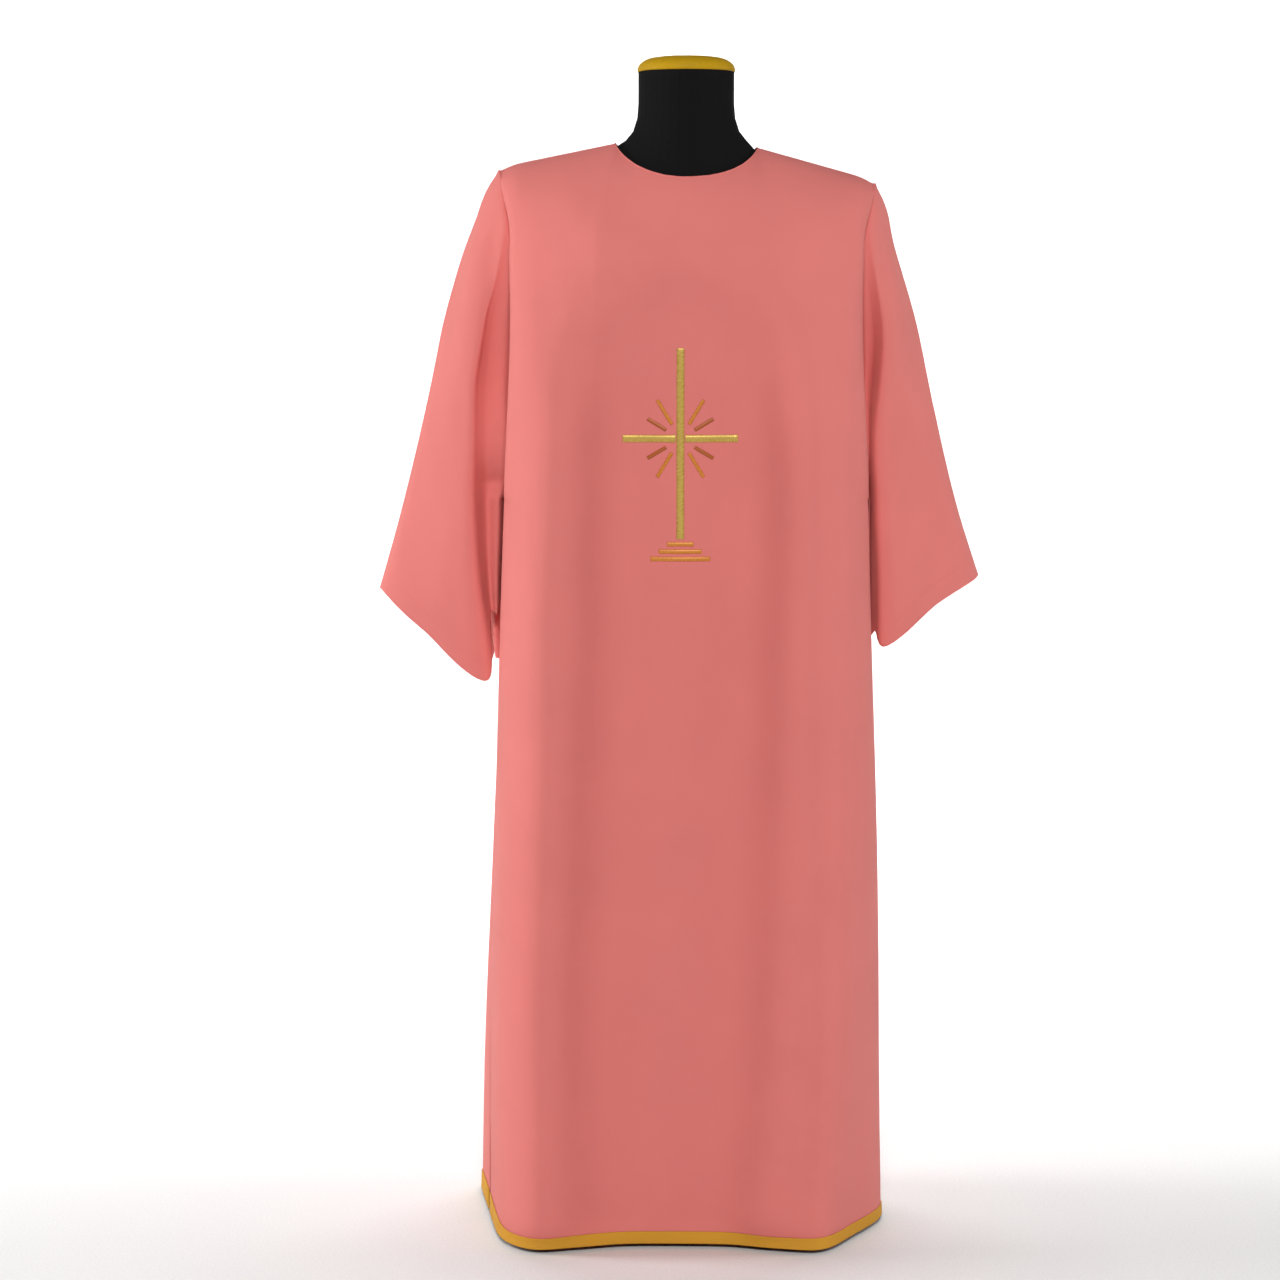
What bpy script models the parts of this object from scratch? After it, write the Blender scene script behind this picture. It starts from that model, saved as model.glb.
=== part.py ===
"""A dalmatic worn by a limbless dress form.

The garment is a straight, knee-length tunic with wide, elbow-length sleeves, cut from a front, a back and
two halves for each sleeve, with a narrow gold braid round the hem and an embroidered cross on the chest.
It hangs from the shoulders of a dress form with a gold neck cap, whose pole and round foot stand inside
the hem. Each cloth piece is a closed wall, its outer face on the worn shape and its inner face inside it.

Units are metres. +Z is up, the front faces -Y, and the origin is the centre of the foot's underside.
Left and right are the wearer's own: the wearer's right side is at -X.
"""

import math

import bpy
import numpy as np
from mathutils import Vector
from mathutils.bvhtree import BVHTree

# ---------------------------------------------------------------- driving sizes

CLOTH = 0.0020              # wall of the cloth
SEAM_GAP = 0.0003           # between two pieces at a seam
SEAM_Y = -0.008             # the shoulder and sleeve-top seams lie this far in front of the ridge
SEAM_FALL = 0.16            # how steeply the cloth already falls forward there
SEAM_SINK = 0.0006          # and how far it has fallen
SHOULDER_FULLNESS = 1.10    # how rounded the cloth is between the shoulder and the chest
SHOULDER_REACH = 0.150      # the length over which a column turns from the shoulder's slope to the chest's

HEM_Z = 0.008               # lower edge of the cloth
CHEST_Z = 1.200             # the highest level section; above it the cloth rises to the shoulders
UNDERARM_Z = 0.920          # foot of the armhole

NECK_HALF = 0.087           # half the width of the neck opening
NECK_FRONT = 0.080          # how far the neckline reaches forward and back of the ridge
NECK_BACK = 0.066
NECK_FALL = {"front": 0.08, "back": -0.10}   # the slope at the middle of the ridge, were there no opening
NECK_FULLNESS = {"front": 1.30, "back": 1.90}   # how rounded the cloth is between there and the chest
NECK_SHARE = 1 / 3          # the share of the top edge, as columns, that is neckline

# One row for each shoulder: which side, the seam's height at the neck, and the shoulder point.
SHOULDERS = {
    "right": {"sign": -1, "neck_z": 1.352, "point_x": 0.229, "point_z": 1.323},
    "left": {"sign": 1, "neck_z": 1.347, "point_x": 0.231, "point_z": 1.307},
}

ARMHOLE_HALF = 0.054        # half the front-to-back width of an armhole
EDGE_SHARE = 0.72           # beyond this share of the way to its side a panel takes on its seam's own shape
SLIT_TOP_Z = 0.250          # the side seams end here, and the sides are open below
SLIT_HALF = 0.006           # half the width of a side slit at the hem

# ---------------------------------------------------------------- the body of the garment, by level sections

# right, left: half widths. front, back: depths before the folds. The four corners say how square the section
# is there, where a smaller number is squarer. shear: how far the back of the section has swung towards the
# wearer's right, for each metre of depth.
BODY_SECTIONS = (
    # z, right, left, front, back, then right_front_corner, left_front_corner, right_back_corner,
    # left_back_corner, and shear
    (0.000, 0.2480, 0.2495, 0.1650, 0.160, 0.30, 1.40, 0.18, 0.55, 0.155),
    (0.220, 0.2465, 0.2430, 0.1625, 0.153, 0.26, 0.90, 0.25, 0.58, 0.135),
    (0.470, 0.2400, 0.2360, 0.1640, 0.143, 0.33, 0.60, 0.40, 0.60, 0.090),
    (0.690, 0.2320, 0.2290, 0.1630, 0.135, 0.39, 0.44, 0.54, 0.60, 0.030),
    (0.800, 0.2275, 0.2255, 0.1640, 0.131, 0.41, 0.41, 0.60, 0.60, 0.010),
    (0.920, 0.2220, 0.2220, 0.1640, 0.127, 0.42, 0.42, 0.60, 0.60, 0.000),
    (1.020, 0.2165, 0.2165, 0.1610, 0.124, 0.45, 0.47, 0.60, 0.60, 0.000),
    (1.110, 0.2140, 0.2135, 0.1525, 0.121, 0.52, 0.60, 0.62, 0.62, 0.000),
    (1.200, 0.2145, 0.2140, 0.1310, 0.117, 0.64, 0.72, 0.66, 0.66, 0.000),
    (1.260, 0.2180, 0.2180, 0.110, 0.105, 0.70, 0.70, 0.70, 0.70, 0.000),
    (1.330, 0.2310, 0.2310, 0.090, 0.090, 0.70, 0.70, 0.70, 0.70, 0.000),
)
BODY_COLUMNS = ("z", "right", "left", "front", "back", "right_front_corner", "left_front_corner",
                "right_back_corner", "left_back_corner", "shear")

# The channel down the middle of the front, between the two folds that fall from the chest: where its two
# banks run, how wide each bank is, and how deep the channel lies.
CHANNEL = (
    # z, right_bank, left_bank, right_width, left_width, depth
    (0.000, -0.133, 0.060, 0.044, 0.032, 0.0340),
    (0.280, -0.138, 0.080, 0.045, 0.035, 0.0365),
    (0.530, -0.128, 0.093, 0.045, 0.039, 0.0435),
    (0.780, -0.117, 0.105, 0.045, 0.040, 0.0500),
    (0.920, -0.117, 0.112, 0.043, 0.038, 0.0510),
    (1.010, -0.120, 0.113, 0.038, 0.036, 0.0440),
    (1.100, -0.122, 0.108, 0.033, 0.034, 0.0280),
    (1.150, -0.121, 0.103, 0.030, 0.032, 0.0100),
    (1.200, -0.120, 0.099, 0.028, 0.030, 0.0015),
)
CHANNEL_COLUMNS = ("z", "right_bank", "left_bank", "right_width", "left_width", "depth")
ARCH_RISE = 0.050           # the channel starts this much higher at the middle than at its banks

# The other folds. A row is a soft ridge (or, with a minus, a trough) that runs from head to foot: its
# place across the garment there, its width, and how far it stands out at its foot. It fades in over `fade`.
FOLDS = (
    # panel, head x, foot x, width, stands, head z, fade
    ("front", -0.168, -0.217, 0.038, 0.018, 1.12, 0.30),
    ("front", 0.194, 0.145, 0.041, 0.027, 1.10, 0.90),
    ("back", -0.150, -0.175, 0.034, 0.012, 1.16, 0.50),
    ("back", -0.085, -0.098, 0.030, -0.013, 1.10, 0.45),
    ("back", -0.020, -0.024, 0.034, 0.009, 1.02, 0.50),
    ("back", 0.050, 0.058, 0.032, -0.012, 1.08, 0.45),
    ("back", 0.122, 0.140, 0.034, 0.013, 1.16, 0.50),
)
FOLD_COLUMNS = ("panel", "head_x", "foot_x", "width", "stands", "head_z", "fade")

# ---------------------------------------------------------------- the sleeves, by level sections

# Each sleeve falls from its shoulder point as a flat fan. Beside the body it folds back into a trench, then
# comes forward again over a ridge. inner: the underarm seam, used below the armhole. ridge: the trench's far
# wall. outer: the fold down the sleeve's outside. The last three are how far from the sleeve's middle the
# ridge's crest and the trench's floor lie, with a floor of its own in front and behind.
RIGHT_SLEEVE = (
    # z, inner, ridge, outer, crest_y, front_floor_y, back_floor_y
    (0.690, 0.2320, 0.2330, 0.4160, 0.050, 0.020, 0.015),
    (0.740, 0.2310, 0.2390, 0.4000, 0.054, 0.020, 0.015),
    (0.806, 0.2295, 0.2480, 0.3800, 0.057, 0.020, 0.016),
    (0.900, 0.2248, 0.2540, 0.3530, 0.058, 0.021, 0.017),
    (1.044, 0.2180, 0.2530, 0.3175, 0.056, 0.032, 0.022),
    (1.160, 0.2140, 0.2500, 0.2930, 0.050, 0.034, 0.026),
    (1.240, 0.2150, 0.2475, 0.2740, 0.040, 0.031, 0.026),
    (1.285, 0.2200, 0.2410, 0.2575, 0.026, 0.021, 0.019),
    (1.323, 0.2290, 0.2330, 0.2420, 0.014, 0.011, 0.011),
)
LEFT_SLEEVE = (
    # z, inner, ridge, outer, crest_y, front_floor_y, back_floor_y
    (0.690, 0.2320, 0.2355, 0.4100, 0.050, 0.017, 0.017),
    (0.740, 0.2308, 0.2345, 0.3920, 0.052, 0.017, 0.017),
    (0.822, 0.2285, 0.2326, 0.3640, 0.052, 0.017, 0.017),
    (0.900, 0.2245, 0.2290, 0.3385, 0.052, 0.018, 0.018),
    (1.030, 0.2165, 0.2275, 0.3060, 0.056, 0.024, 0.024),
    (1.130, 0.2135, 0.2385, 0.2845, 0.054, 0.026, 0.026),
    (1.220, 0.2150, 0.2400, 0.2640, 0.044, 0.024, 0.024),
    (1.270, 0.2190, 0.2350, 0.2530, 0.030, 0.019, 0.019),
    (1.308, 0.2310, 0.2320, 0.2420, 0.014, 0.011, 0.011),
)
SLEEVE_COLUMNS = ("z", "inner", "ridge", "outer", "crest_y", "front_floor_y", "back_floor_y")

# Heights of the cuff's edge: at the underarm seam, along the trench, on the ridge's wall and crest, halfway
# down its slope, and at the outer corner.
CUFFS = {
    "right": {"inner": 0.790, "trench": 0.776, "wall": 0.752, "crest": 0.700, "middle": 0.757, "outer": 0.806},
    "left": {"inner": 0.800, "trench": 0.784, "wall": 0.756, "crest": 0.738, "middle": 0.789, "outer": 0.822},
}
BACK_CUFF_RISE = 0.012      # the back half of each cuff hangs this much higher at the ridge
SLEEVE_TABLES = {"right": RIGHT_SLEEVE, "left": LEFT_SLEEVE}
BACK_RIDGE = 0.86           # the back's sleeve ridge stands out this much of the front's
LEVEL_FLOOR = 0.040         # the trench's floor is level with the armhole's seam to this far above its foot
LEVEL_FLOOR_FADE = 0.110    # and drops back behind it over this length
TRENCH_CLEAR = 0.0026       # the trench's near side leaves the body by at least this
HEAD_SHARE = 0.40           # over this share of the sleeve's length its rows settle from the armhole's curve
FRONT_OUTSIDE_Y = 0.020     # how far from the sleeve's middle its outside is still rounded, in front
BACK_OUTSIDE_Y = 0.010      # and behind

# The sleeve's named lines, from the body outwards, as places among its columns: the seam, the trench's two
# sides, the foot, middle and crest of the ridge's wall, the middle of its slope, and the outside.
SLEEVE_COUNT = 12
SLEEVE_KEYS = (0.0, 1.0, 3.0, 4.2, 5.4, 8.2, 10.8, 12.0)

# ---------------------------------------------------------------- mesh density

COLUMNS = 36                # across a body panel; a sixth of it each side of the middle is neckline
SHOULDER_ROWS = SLEEVE_COUNT   # from the shoulder seam to the chest section, as many as cross a sleeve
LEVEL_ROWS = (1.165, 1.130, 1.090, 1.045, 1.000, 0.965, 0.938, 0.920, 0.870, 0.810, 0.740, 0.660, 0.580,
              0.490, 0.400, 0.320, 0.250, 0.180, 0.110, 0.050, HEM_Z)
ARMHOLE_ROWS = 8            # of the level rows, down to UNDERARM_Z
UNDERARM_ROWS = (0.908, 0.890, 0.865, 0.835)   # heights of the sleeve's rows along its underarm seam

# ---------------------------------------------------------------- trim, emblem and dress form

BRAID_HEIGHT = 0.013
BRAID_DROP = 0.002          # the braid reaches this far below the cloth's edge
BRAID_WALL = 0.0012

CROSSING = (-0.008, 0.997)  # x and z of the emblem's middle
EMBLEM_WALL = 0.0010
EMBLEM_LIFT = 0.0005        # clear of the cloth's facets
# The cross's bars, placed from the crossing. turn is from upright, in degrees.
EMBLEM_BARS = (
    # name, x, z, length, width, turn, material
    ("emblem_upright", 0.0, -0.0065, 0.2290, 0.0095, 0.0, "gold_thread"),
    ("emblem_arm_right", -0.0375, 0.0, 0.0640, 0.0090, 90.0, "gold_thread"),
    ("emblem_arm_left", 0.0375, 0.0, 0.0640, 0.0090, 90.0, "gold_thread"),
)
# The two rays in each quarter of the cross. lean is from upright, in degrees.
EMBLEM_RAYS = (
    # lean, length
    (31.0, 0.034),
    (59.0, 0.026),
)
RAY_START = 0.020           # the rays leave this circle round the crossing
RAY_WIDTH = 0.0045
STEP_WIDTHS = (0.072, 0.052, 0.032)   # the three steps, from the lowest up
STEP_RISE = 0.0090
STEP_HEIGHT = 0.0055
LOWEST_STEP_Z = 0.852
BAR_EDGE = 0.7              # a bar's edge stands out this much of its middle
BAR_STEP = 0.012            # about how long the facets of a bar are

FOOT_RADIUS = 0.115
FOOT_HEIGHT = 0.008
FOOT_BEVEL = 0.0015
FOOT_SIDES = 48
POLE_RADIUS = 0.0125
POLE_SIDES = 20
FORM_BOTTOM_Z = 0.660
FORM_CLEAR = 0.0008         # between the form's shoulders and the cloth that rests on them
FORM_SIDES = 36
FORM_MIDDLE_Z = 1.10        # the form's surface above here is measured from this height
COLLAR_GAP = 0.003          # between the neckline's edge and the form's neck
NECK_TOP_Z = 1.4375
# The flat, rounded cap on the neck, from the top down. drop is below its top.
CAP_TOP_Z = 1.4560
CAP_PROFILE = (
    # radius, drop
    (0.0200, 0.0),
    (0.0380, 0.0008),
    (0.0500, 0.0040),
    (0.0580, 0.0105),
    (0.0595, 0.0147),
    (0.0595, CAP_TOP_Z - NECK_TOP_Z - SEAM_GAP),
)

# The dress form, by rings from the neck down. A ring lies at one height at its sides and at others in front
# and behind. A side_z of None puts it at the cloth's shoulder ridge, to be drawn in under the cloth.
NECK_RINGS = (
    # side_x, side_z, front_y, front_z, back_y, back_z
    (0.0585, NECK_TOP_Z, 0.0585, NECK_TOP_Z, 0.0585, NECK_TOP_Z),
    (0.0585, 1.4000, 0.0585, 1.3950, 0.0580, 1.4000),
    (0.0600, 1.3820, 0.0600, 1.3700, 0.0580, 1.3820),
    (0.0650, 1.3665, 0.0630, 1.3450, 0.0590, 1.3665),
    (0.0735, 1.3560, 0.0690, 1.3230, 0.0600, 1.3450),
)
BODY_RINGS = (
    # side_x, side_z, front_y, front_z, back_y, back_z
    (0.1050, None, 0.0860, 1.2900, 0.0730, 1.3080),
    (0.1350, None, 0.0945, 1.2600, 0.0815, 1.2950),
    (0.1650, None, 0.1060, 1.2380, 0.0920, 1.2730),
    (0.1900, None, 0.1160, 1.2160, 0.1000, 1.2500),
    (0.2080, None, 0.1220, 1.1950, 0.1040, 1.2270),
    (0.2160, 1.2850, 0.1235, 1.1740, 0.1060, 1.2040),
    (0.2130, 1.2550, 0.1225, 1.1530, 0.1060, 1.1810),
    (0.2030, 1.2200, 0.1195, 1.1300, 0.1050, 1.1570),
    (0.1900, 1.1800, 0.1160, 1.1050, 0.1020, 1.1300),
    (0.1780, 1.1300, 0.1110, 1.0750, 0.0970, 1.0950),
    (0.1690, 1.0600, 0.1060, 1.0250, 0.0910, 1.0350),
    (0.1640, 0.9700, 0.1020, 0.9600, 0.0880, 0.9600),
    (0.1680, 0.8800, 0.1010, 0.8800, 0.0960, 0.8800),
    (0.1740, 0.7900, 0.1010, 0.7900, 0.1060, 0.7900),
    (0.1720, 0.7100, 0.0980, 0.7100, 0.1060, 0.7100),
    (0.1600, FORM_BOTTOM_Z, 0.0880, FORM_BOTTOM_Z, 0.0950, FORM_BOTTOM_Z),
)

# name: base colour, roughness, metallic
MATERIALS = {
    "rose_cloth": ((0.72, 0.205, 0.185), 0.72, 0.0),
    "gold_braid": ((0.64, 0.33, 0.04), 0.45, 0.2),
    "gold_thread": ((0.60, 0.42, 0.09), 0.35, 0.6),
    "amber_thread": ((0.68, 0.26, 0.03), 0.40, 0.3),
    "black_jersey": ((0.006, 0.006, 0.006), 0.85, 0.0),
    "gold_cap": ((0.43, 0.24, 0.012), 0.38, 0.5),
    "steel": ((0.05, 0.05, 0.055), 0.45, 0.8),
}


# ---------------------------------------------------------------- curves

def hermite(p0, m0, p1, m1, t):
    """The cubic that leaves p0 with slope m0 and reaches p1 with slope m1, for t from 0 to 1."""
    t2, t3 = t * t, t * t * t
    return (2 * t3 - 3 * t2 + 1) * p0 + (t3 - 2 * t2 + t) * m0 + (3 * t2 - 2 * t3) * p1 + (t3 - t2) * m1


def through(stations, values, at):
    """A smooth curve through a table's column, at the given stations. Past its ends it stays straight."""
    stations, values, at = (np.asarray(x, float) for x in (stations, values, at))
    slopes = np.gradient(values, stations)
    i = np.clip(np.searchsorted(stations, at) - 1, 0, len(stations) - 2)
    span = stations[i + 1] - stations[i]
    t = (at - stations[i]) / span
    inside = hermite(values[i], slopes[i] * span, values[i + 1], slopes[i + 1] * span, np.clip(t, 0, 1))
    return inside + slopes[i] * span * np.minimum(t, 0) + slopes[i + 1] * span * np.maximum(t - 1, 0)


def table(rows, names):
    """The table's columns as arrays, by name."""
    return {name: np.array([row[i] for row in rows], float) for i, name in enumerate(names)}


def smoothstep(x):
    x = np.clip(x, 0, 1)
    return x * x * (3 - 2 * x)


def bell(x, width):
    return np.exp(-((x / width) ** 2))


BODY = table(BODY_SECTIONS, BODY_COLUMNS)
GROOVE = table(CHANNEL, CHANNEL_COLUMNS)


def body_at(column, z):
    return through(BODY["z"], BODY[column], z)


# ---------------------------------------------------------------- seams that several pieces share

def shoulder_z(side, x):
    """Height of the shoulder ridge at a distance x from the middle."""
    s = SHOULDERS[side]
    return s["neck_z"] + (s["point_z"] - s["neck_z"]) * (x - NECK_HALF) / (s["point_x"] - NECK_HALF)


def half_width(side, z):
    """Distance from the middle to the armhole seam or, below it, to the side seam."""
    s = SHOULDERS[side]
    top = smoothstep((z - CHEST_Z) / (s["point_z"] - CHEST_Z))
    return body_at(side, z) * (1 - top) + (s["point_x"] + (z - s["point_z"]) * 0.25) * top


def armhole_half(side, z, power=0.5):
    """How far the armhole's edge lies from its middle line, front or back; 0 at the shoulder and underarm.
    A power of 0.5 makes it an oval, and a greater one an almond that starts and ends without a corner."""
    top = SHOULDERS[side]["point_z"]
    middle, reach = (top + UNDERARM_Z) / 2, (top - UNDERARM_Z) / 2
    return ARMHOLE_HALF * np.clip(1 - ((z - middle) / reach) ** 2, 0, 1) ** power


def slit_half(z):
    return SLIT_HALF * smoothstep((SLIT_TOP_Z - z) / (SLIT_TOP_Z - HEM_Z)) ** 0.7


def edge_y(side, z, face, power=0.5):
    """Where a panel ends at its side: the armhole, the side seam or the slit. face is -1 in front, 1 behind."""
    top = SHOULDERS[side]["point_z"]
    middle = SEAM_Y * smoothstep((z - UNDERARM_Z) / (top - UNDERARM_Z))
    return middle + face * (armhole_half(side, z, power) + slit_half(z))


def near_edge(u):
    """1 at a panel's sides, falling to 0 where its seams no longer shape it."""
    return smoothstep((np.abs(u) - EDGE_SHARE) / (1 - EDGE_SHARE))


# ---------------------------------------------------------------- the body panels

def channel_depth(x, z):
    """How far back the front lies in its middle channel, which rises to an arch below the chest."""
    right, left, right_width, left_width = (through(GROOVE["z"], GROOVE[c], z) for c in CHANNEL_COLUMNS[1:5])
    lift = ARCH_RISE * (1 - np.clip(np.abs(x) / 0.11, 0, 1) ** 2)
    depth = np.maximum(through(GROOVE["z"], GROOVE["depth"], z - lift), 0)
    return depth * (np.tanh((x - right) / right_width) - np.tanh((x - left) / left_width)) / 2


def fold_height(panel, x, z):
    """How far the panel's own folds stand out at x."""
    total = np.zeros(np.broadcast(x, z).shape)
    for row in FOLDS:
        fold = dict(zip(FOLD_COLUMNS, row))
        if fold["panel"] != panel:
            continue
        fallen = np.clip((fold["head_z"] - z) / (fold["head_z"] - HEM_Z), 0, 1)
        place = fold["head_x"] + (fold["foot_x"] - fold["head_x"]) * fallen
        strength = smoothstep((fold["head_z"] - z) / fold["fade"]) * (0.55 + 0.45 * fallen)
        total = total + fold["stands"] * strength * bell(x - place, fold["width"])
    return total


def level_section(panel, u, z):
    """Points of a body panel where its rows are level. u runs from -1 at the wearer's right to 1 at the left."""
    face = -1 if panel == "front" else 1
    angle = np.abs(u) * math.pi / 2
    on_right = u < 0
    half = np.where(on_right, half_width("right", z), half_width("left", z))
    edge = np.where(on_right, edge_y("right", z, face), edge_y("left", z, face))
    start = np.where(on_right, edge_y("right", z, face, 1.5), edge_y("left", z, face, 1.5))
    depth = body_at(panel, z)
    x = np.sign(u) * half * np.sin(angle)
    corner = np.where(on_right, body_at(f"right_{panel}_corner", z), body_at(f"left_{panel}_corner", z))
    flat = np.clip(np.cos(angle), 0, 1) ** corner
    y = start + (face * depth - start) * flat + (edge - start) * near_edge(u)
    out = fold_height(panel, x, z)
    if panel == "front":
        out = out - channel_depth(x, z)
    y = y + face * out * smoothstep(flat / 0.45)
    x = x - body_at("shear", z) * y
    return np.stack([x, y, np.broadcast_to(z, x.shape)], axis=-1)


def ridge_line(u):
    """The shoulder seam, at the head of each column, as if it ran on over the neck opening."""
    turn = np.clip(np.abs(u) / NECK_SHARE, 0, 1) * math.pi / 2
    start = math.sin(NECK_SHARE * math.pi / 2)
    along = np.clip((np.sin(np.abs(u) * math.pi / 2) - start) / (1 - start), 0, 1)
    point_x = np.where(u < 0, SHOULDERS["right"]["point_x"], SHOULDERS["left"]["point_x"])
    x = NECK_HALF * np.sin(turn) + (point_x - NECK_HALF) * along
    z = np.where(u < 0, ridge_z("right", x), ridge_z("left", x)) - SEAM_SINK
    return np.stack([np.sign(u) * x, np.full_like(x, SEAM_Y), z], axis=-1)


def ridge_z(side, x):
    """Height of the shoulder ridge at x, rounded off level over the neck opening."""
    s = SHOULDERS[side]
    slope = (s["neck_z"] - s["point_z"]) / (s["point_x"] - NECK_HALF)
    middle_z = (SHOULDERS["right"]["neck_z"] + SHOULDERS["left"]["neck_z"] + slope * NECK_HALF) / 2
    over = smoothstep(x / NECK_HALF)
    level = s["neck_z"] * over + middle_z * (1 - over)
    return np.where(x < NECK_HALF, level, s["neck_z"] - slope * (x - NECK_HALF))


def body_grid(panel, columns=COLUMNS, shoulder_rows=SHOULDER_ROWS, levels=LEVEL_ROWS):
    """The outer points of a body panel: rows from the top edge down, columns from -X to +X."""
    face = -1 if panel == "front" else 1
    u = np.linspace(-1, 1, columns + 1)
    top, chest = ridge_line(u), level_section(panel, u, CHEST_Z)
    step = 0.03
    below = level_section(panel, u, CHEST_Z - step)
    share = smoothstep(np.abs(u) / NECK_SHARE)
    fall = NECK_FALL[panel] * (1 - share) - face * SEAM_FALL * share
    leave = np.stack([0 * u, face + 0 * u, -fall], axis=-1) * SHOULDER_REACH
    fullness = NECK_FULLNESS[panel] * (1 - share) + SHOULDER_FULLNESS * share
    arrive = (below - chest) / step * SHOULDER_REACH * fullness[:, None]

    def at(t):
        return hermite(top, leave, chest, arrive, t)

    begin = neckline_start(at, NECK_FRONT + SEAM_Y if panel == "front" else NECK_BACK - SEAM_Y)
    edge = near_edge(u)[:, None]
    rows = []
    for t in np.linspace(0, 1, shoulder_rows + 1):
        row = at((begin + (1 - begin) * t)[:, None])
        seam = [armhole_point(side, t, face) for side in ("right", "left")]
        row = row + edge * np.where(u[:, None] < 0, seam[0] - row[0], seam[1] - row[-1])
        rows.append(row)
    rows += [level_section(panel, u, z) for z in levels]
    return np.array(rows)


def neckline_start(at, reach):
    """How far down each column the neckline is: half an oval, seen from above, that reaches so far."""
    steps = np.linspace(0, 1, 401)
    rows = np.array([at(t) for t in steps])
    inside = (rows[:, :, 0] / NECK_HALF) ** 2 + ((rows[:, :, 1] - SEAM_Y) / reach) ** 2 < 0.9999
    return steps[np.where(inside.all(axis=0), 0, np.argmin(inside, axis=0))]


def armhole_point(side, t, face):
    """The armhole's edge from the shoulder point, at t = 0, to the chest section, at t = 1."""
    s = SHOULDERS[side]
    z = s["point_z"] + (CHEST_Z - s["point_z"]) * t ** 1.25
    return np.array([s["sign"] * half_width(side, z), edge_y(side, z, face), z - SEAM_SINK * (1 - t)])


# ---------------------------------------------------------------- the sleeves

def sleeve_section(side, face, column, z):
    """Points of a half sleeve, at columns from the body outwards and at heights z."""
    t = table(SLEEVE_TABLES[side], SLEEVE_COLUMNS)
    inner, ridge, outer, crest_y, front_floor_y, back_floor_y = (
        through(t["z"], t[name], z) for name in SLEEVE_COLUMNS[1:])
    on_armhole = z > UNDERARM_Z
    inner = np.where(on_armhole, half_width(side, z), inner)
    seam = np.where(on_armhole, edge_y(side, z, face), 0)
    floor_y = front_floor_y if face < 0 else back_floor_y
    near_foot = 1 - smoothstep((z - UNDERARM_Z - LEVEL_FLOOR) / LEVEL_FLOOR_FADE)
    floor_y = floor_y + np.maximum(np.abs(seam) - floor_y, 0) * near_foot
    crest_y = crest_y * (1 if face < 0 else BACK_RIDGE)
    wide = ridge - inner
    outside_y = FRONT_OUTSIDE_Y if face < 0 else BACK_OUTSIDE_Y
    x = (inner, inner + np.maximum(0.16 * wide, TRENCH_CLEAR), inner + 0.76 * wide, ridge, ridge + 0.006,
         ridge + 0.54 * (outer - ridge), outer - 0.007, outer)
    y = (seam, face * floor_y, face * floor_y, face * (floor_y + crest_y) / 2, face * crest_y,
         face * 0.76 * crest_y, np.full_like(z, face * outside_y), np.full_like(z, SEAM_Y))
    sign = SHOULDERS[side]["sign"]
    return np.stack([sign * across(x, column), across(y, column), z], axis=-1)


def across(values, column):
    """A smooth curve through the sleeve's named lines, at a column."""
    keys = np.array(SLEEVE_KEYS)
    values = np.array(values)
    slopes = np.gradient(values, keys, axis=0)
    i = np.clip(np.searchsorted(keys, column) - 1, 0, len(keys) - 2)
    span = keys[i + 1] - keys[i]
    t = (column - keys[i]) / span
    at = np.arange(values.shape[1])
    return hermite(values[i, at], slopes[i, at] * span, values[i + 1, at], slopes[i + 1, at] * span, t)


def cuff_z(side, face, column):
    cuff = CUFFS[side]
    lift = BACK_CUFF_RISE if face > 0 else 0
    heights = (cuff["inner"], cuff["trench"], cuff["trench"], cuff["wall"] + lift, cuff["crest"] + lift,
               cuff["middle"] + lift / 2, cuff["outer"] - 0.004, cuff["outer"])
    return through(SLEEVE_KEYS, heights, column)


def sleeve_grid(side, panel, columns=SLEEVE_COUNT):
    """The outer points of a half sleeve. The top row follows the armhole from the chest up to the shoulder
    point, and the first column runs down the rest of the armhole and then the underarm seam."""
    face = -1 if panel == "front" else 1
    column = np.linspace(0, SLEEVE_COUNT, columns + 1)
    head = np.array([armhole_point(side, t, face) for t in np.linspace(1, 0, columns + 1)])
    foot = cuff_z(side, face, column)
    heights = (CHEST_Z,) + LEVEL_ROWS[:ARMHOLE_ROWS] + UNDERARM_ROWS + (CUFFS[side]["inner"],)
    rows = []
    for z in heights:
        t = (CHEST_Z - z) / (CHEST_Z - heights[-1])
        level = head[:, 2] + (foot - head[:, 2]) * t
        section = sleeve_section(side, face, column, level)
        start = sleeve_section(side, face, column, head[:, 2])
        rows.append(section + (head - start) * (1 - smoothstep(t / HEAD_SHARE)))
    return np.array(rows)


# ---------------------------------------------------------------- walls

def grid_normals(grid):
    """Unit normals of a grid of points, before their side is chosen."""
    down, over = np.gradient(grid, axis=0), np.gradient(grid, axis=1)
    normal = np.cross(over, down)
    return normal / np.linalg.norm(normal, axis=2, keepdims=True)


def outline(rows, columns):
    """Indices of a grid's outline, once round, as (row, column) pairs."""
    last_row, last_column = rows - 1, columns - 1
    loop = [(0, c) for c in range(columns)]
    loop += [(r, last_column) for r in range(1, rows)]
    loop += [(last_row, c) for c in range(last_column - 1, -1, -1)]
    loop += [(r, 0) for r in range(last_row - 1, 0, -1)]
    return loop


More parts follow.
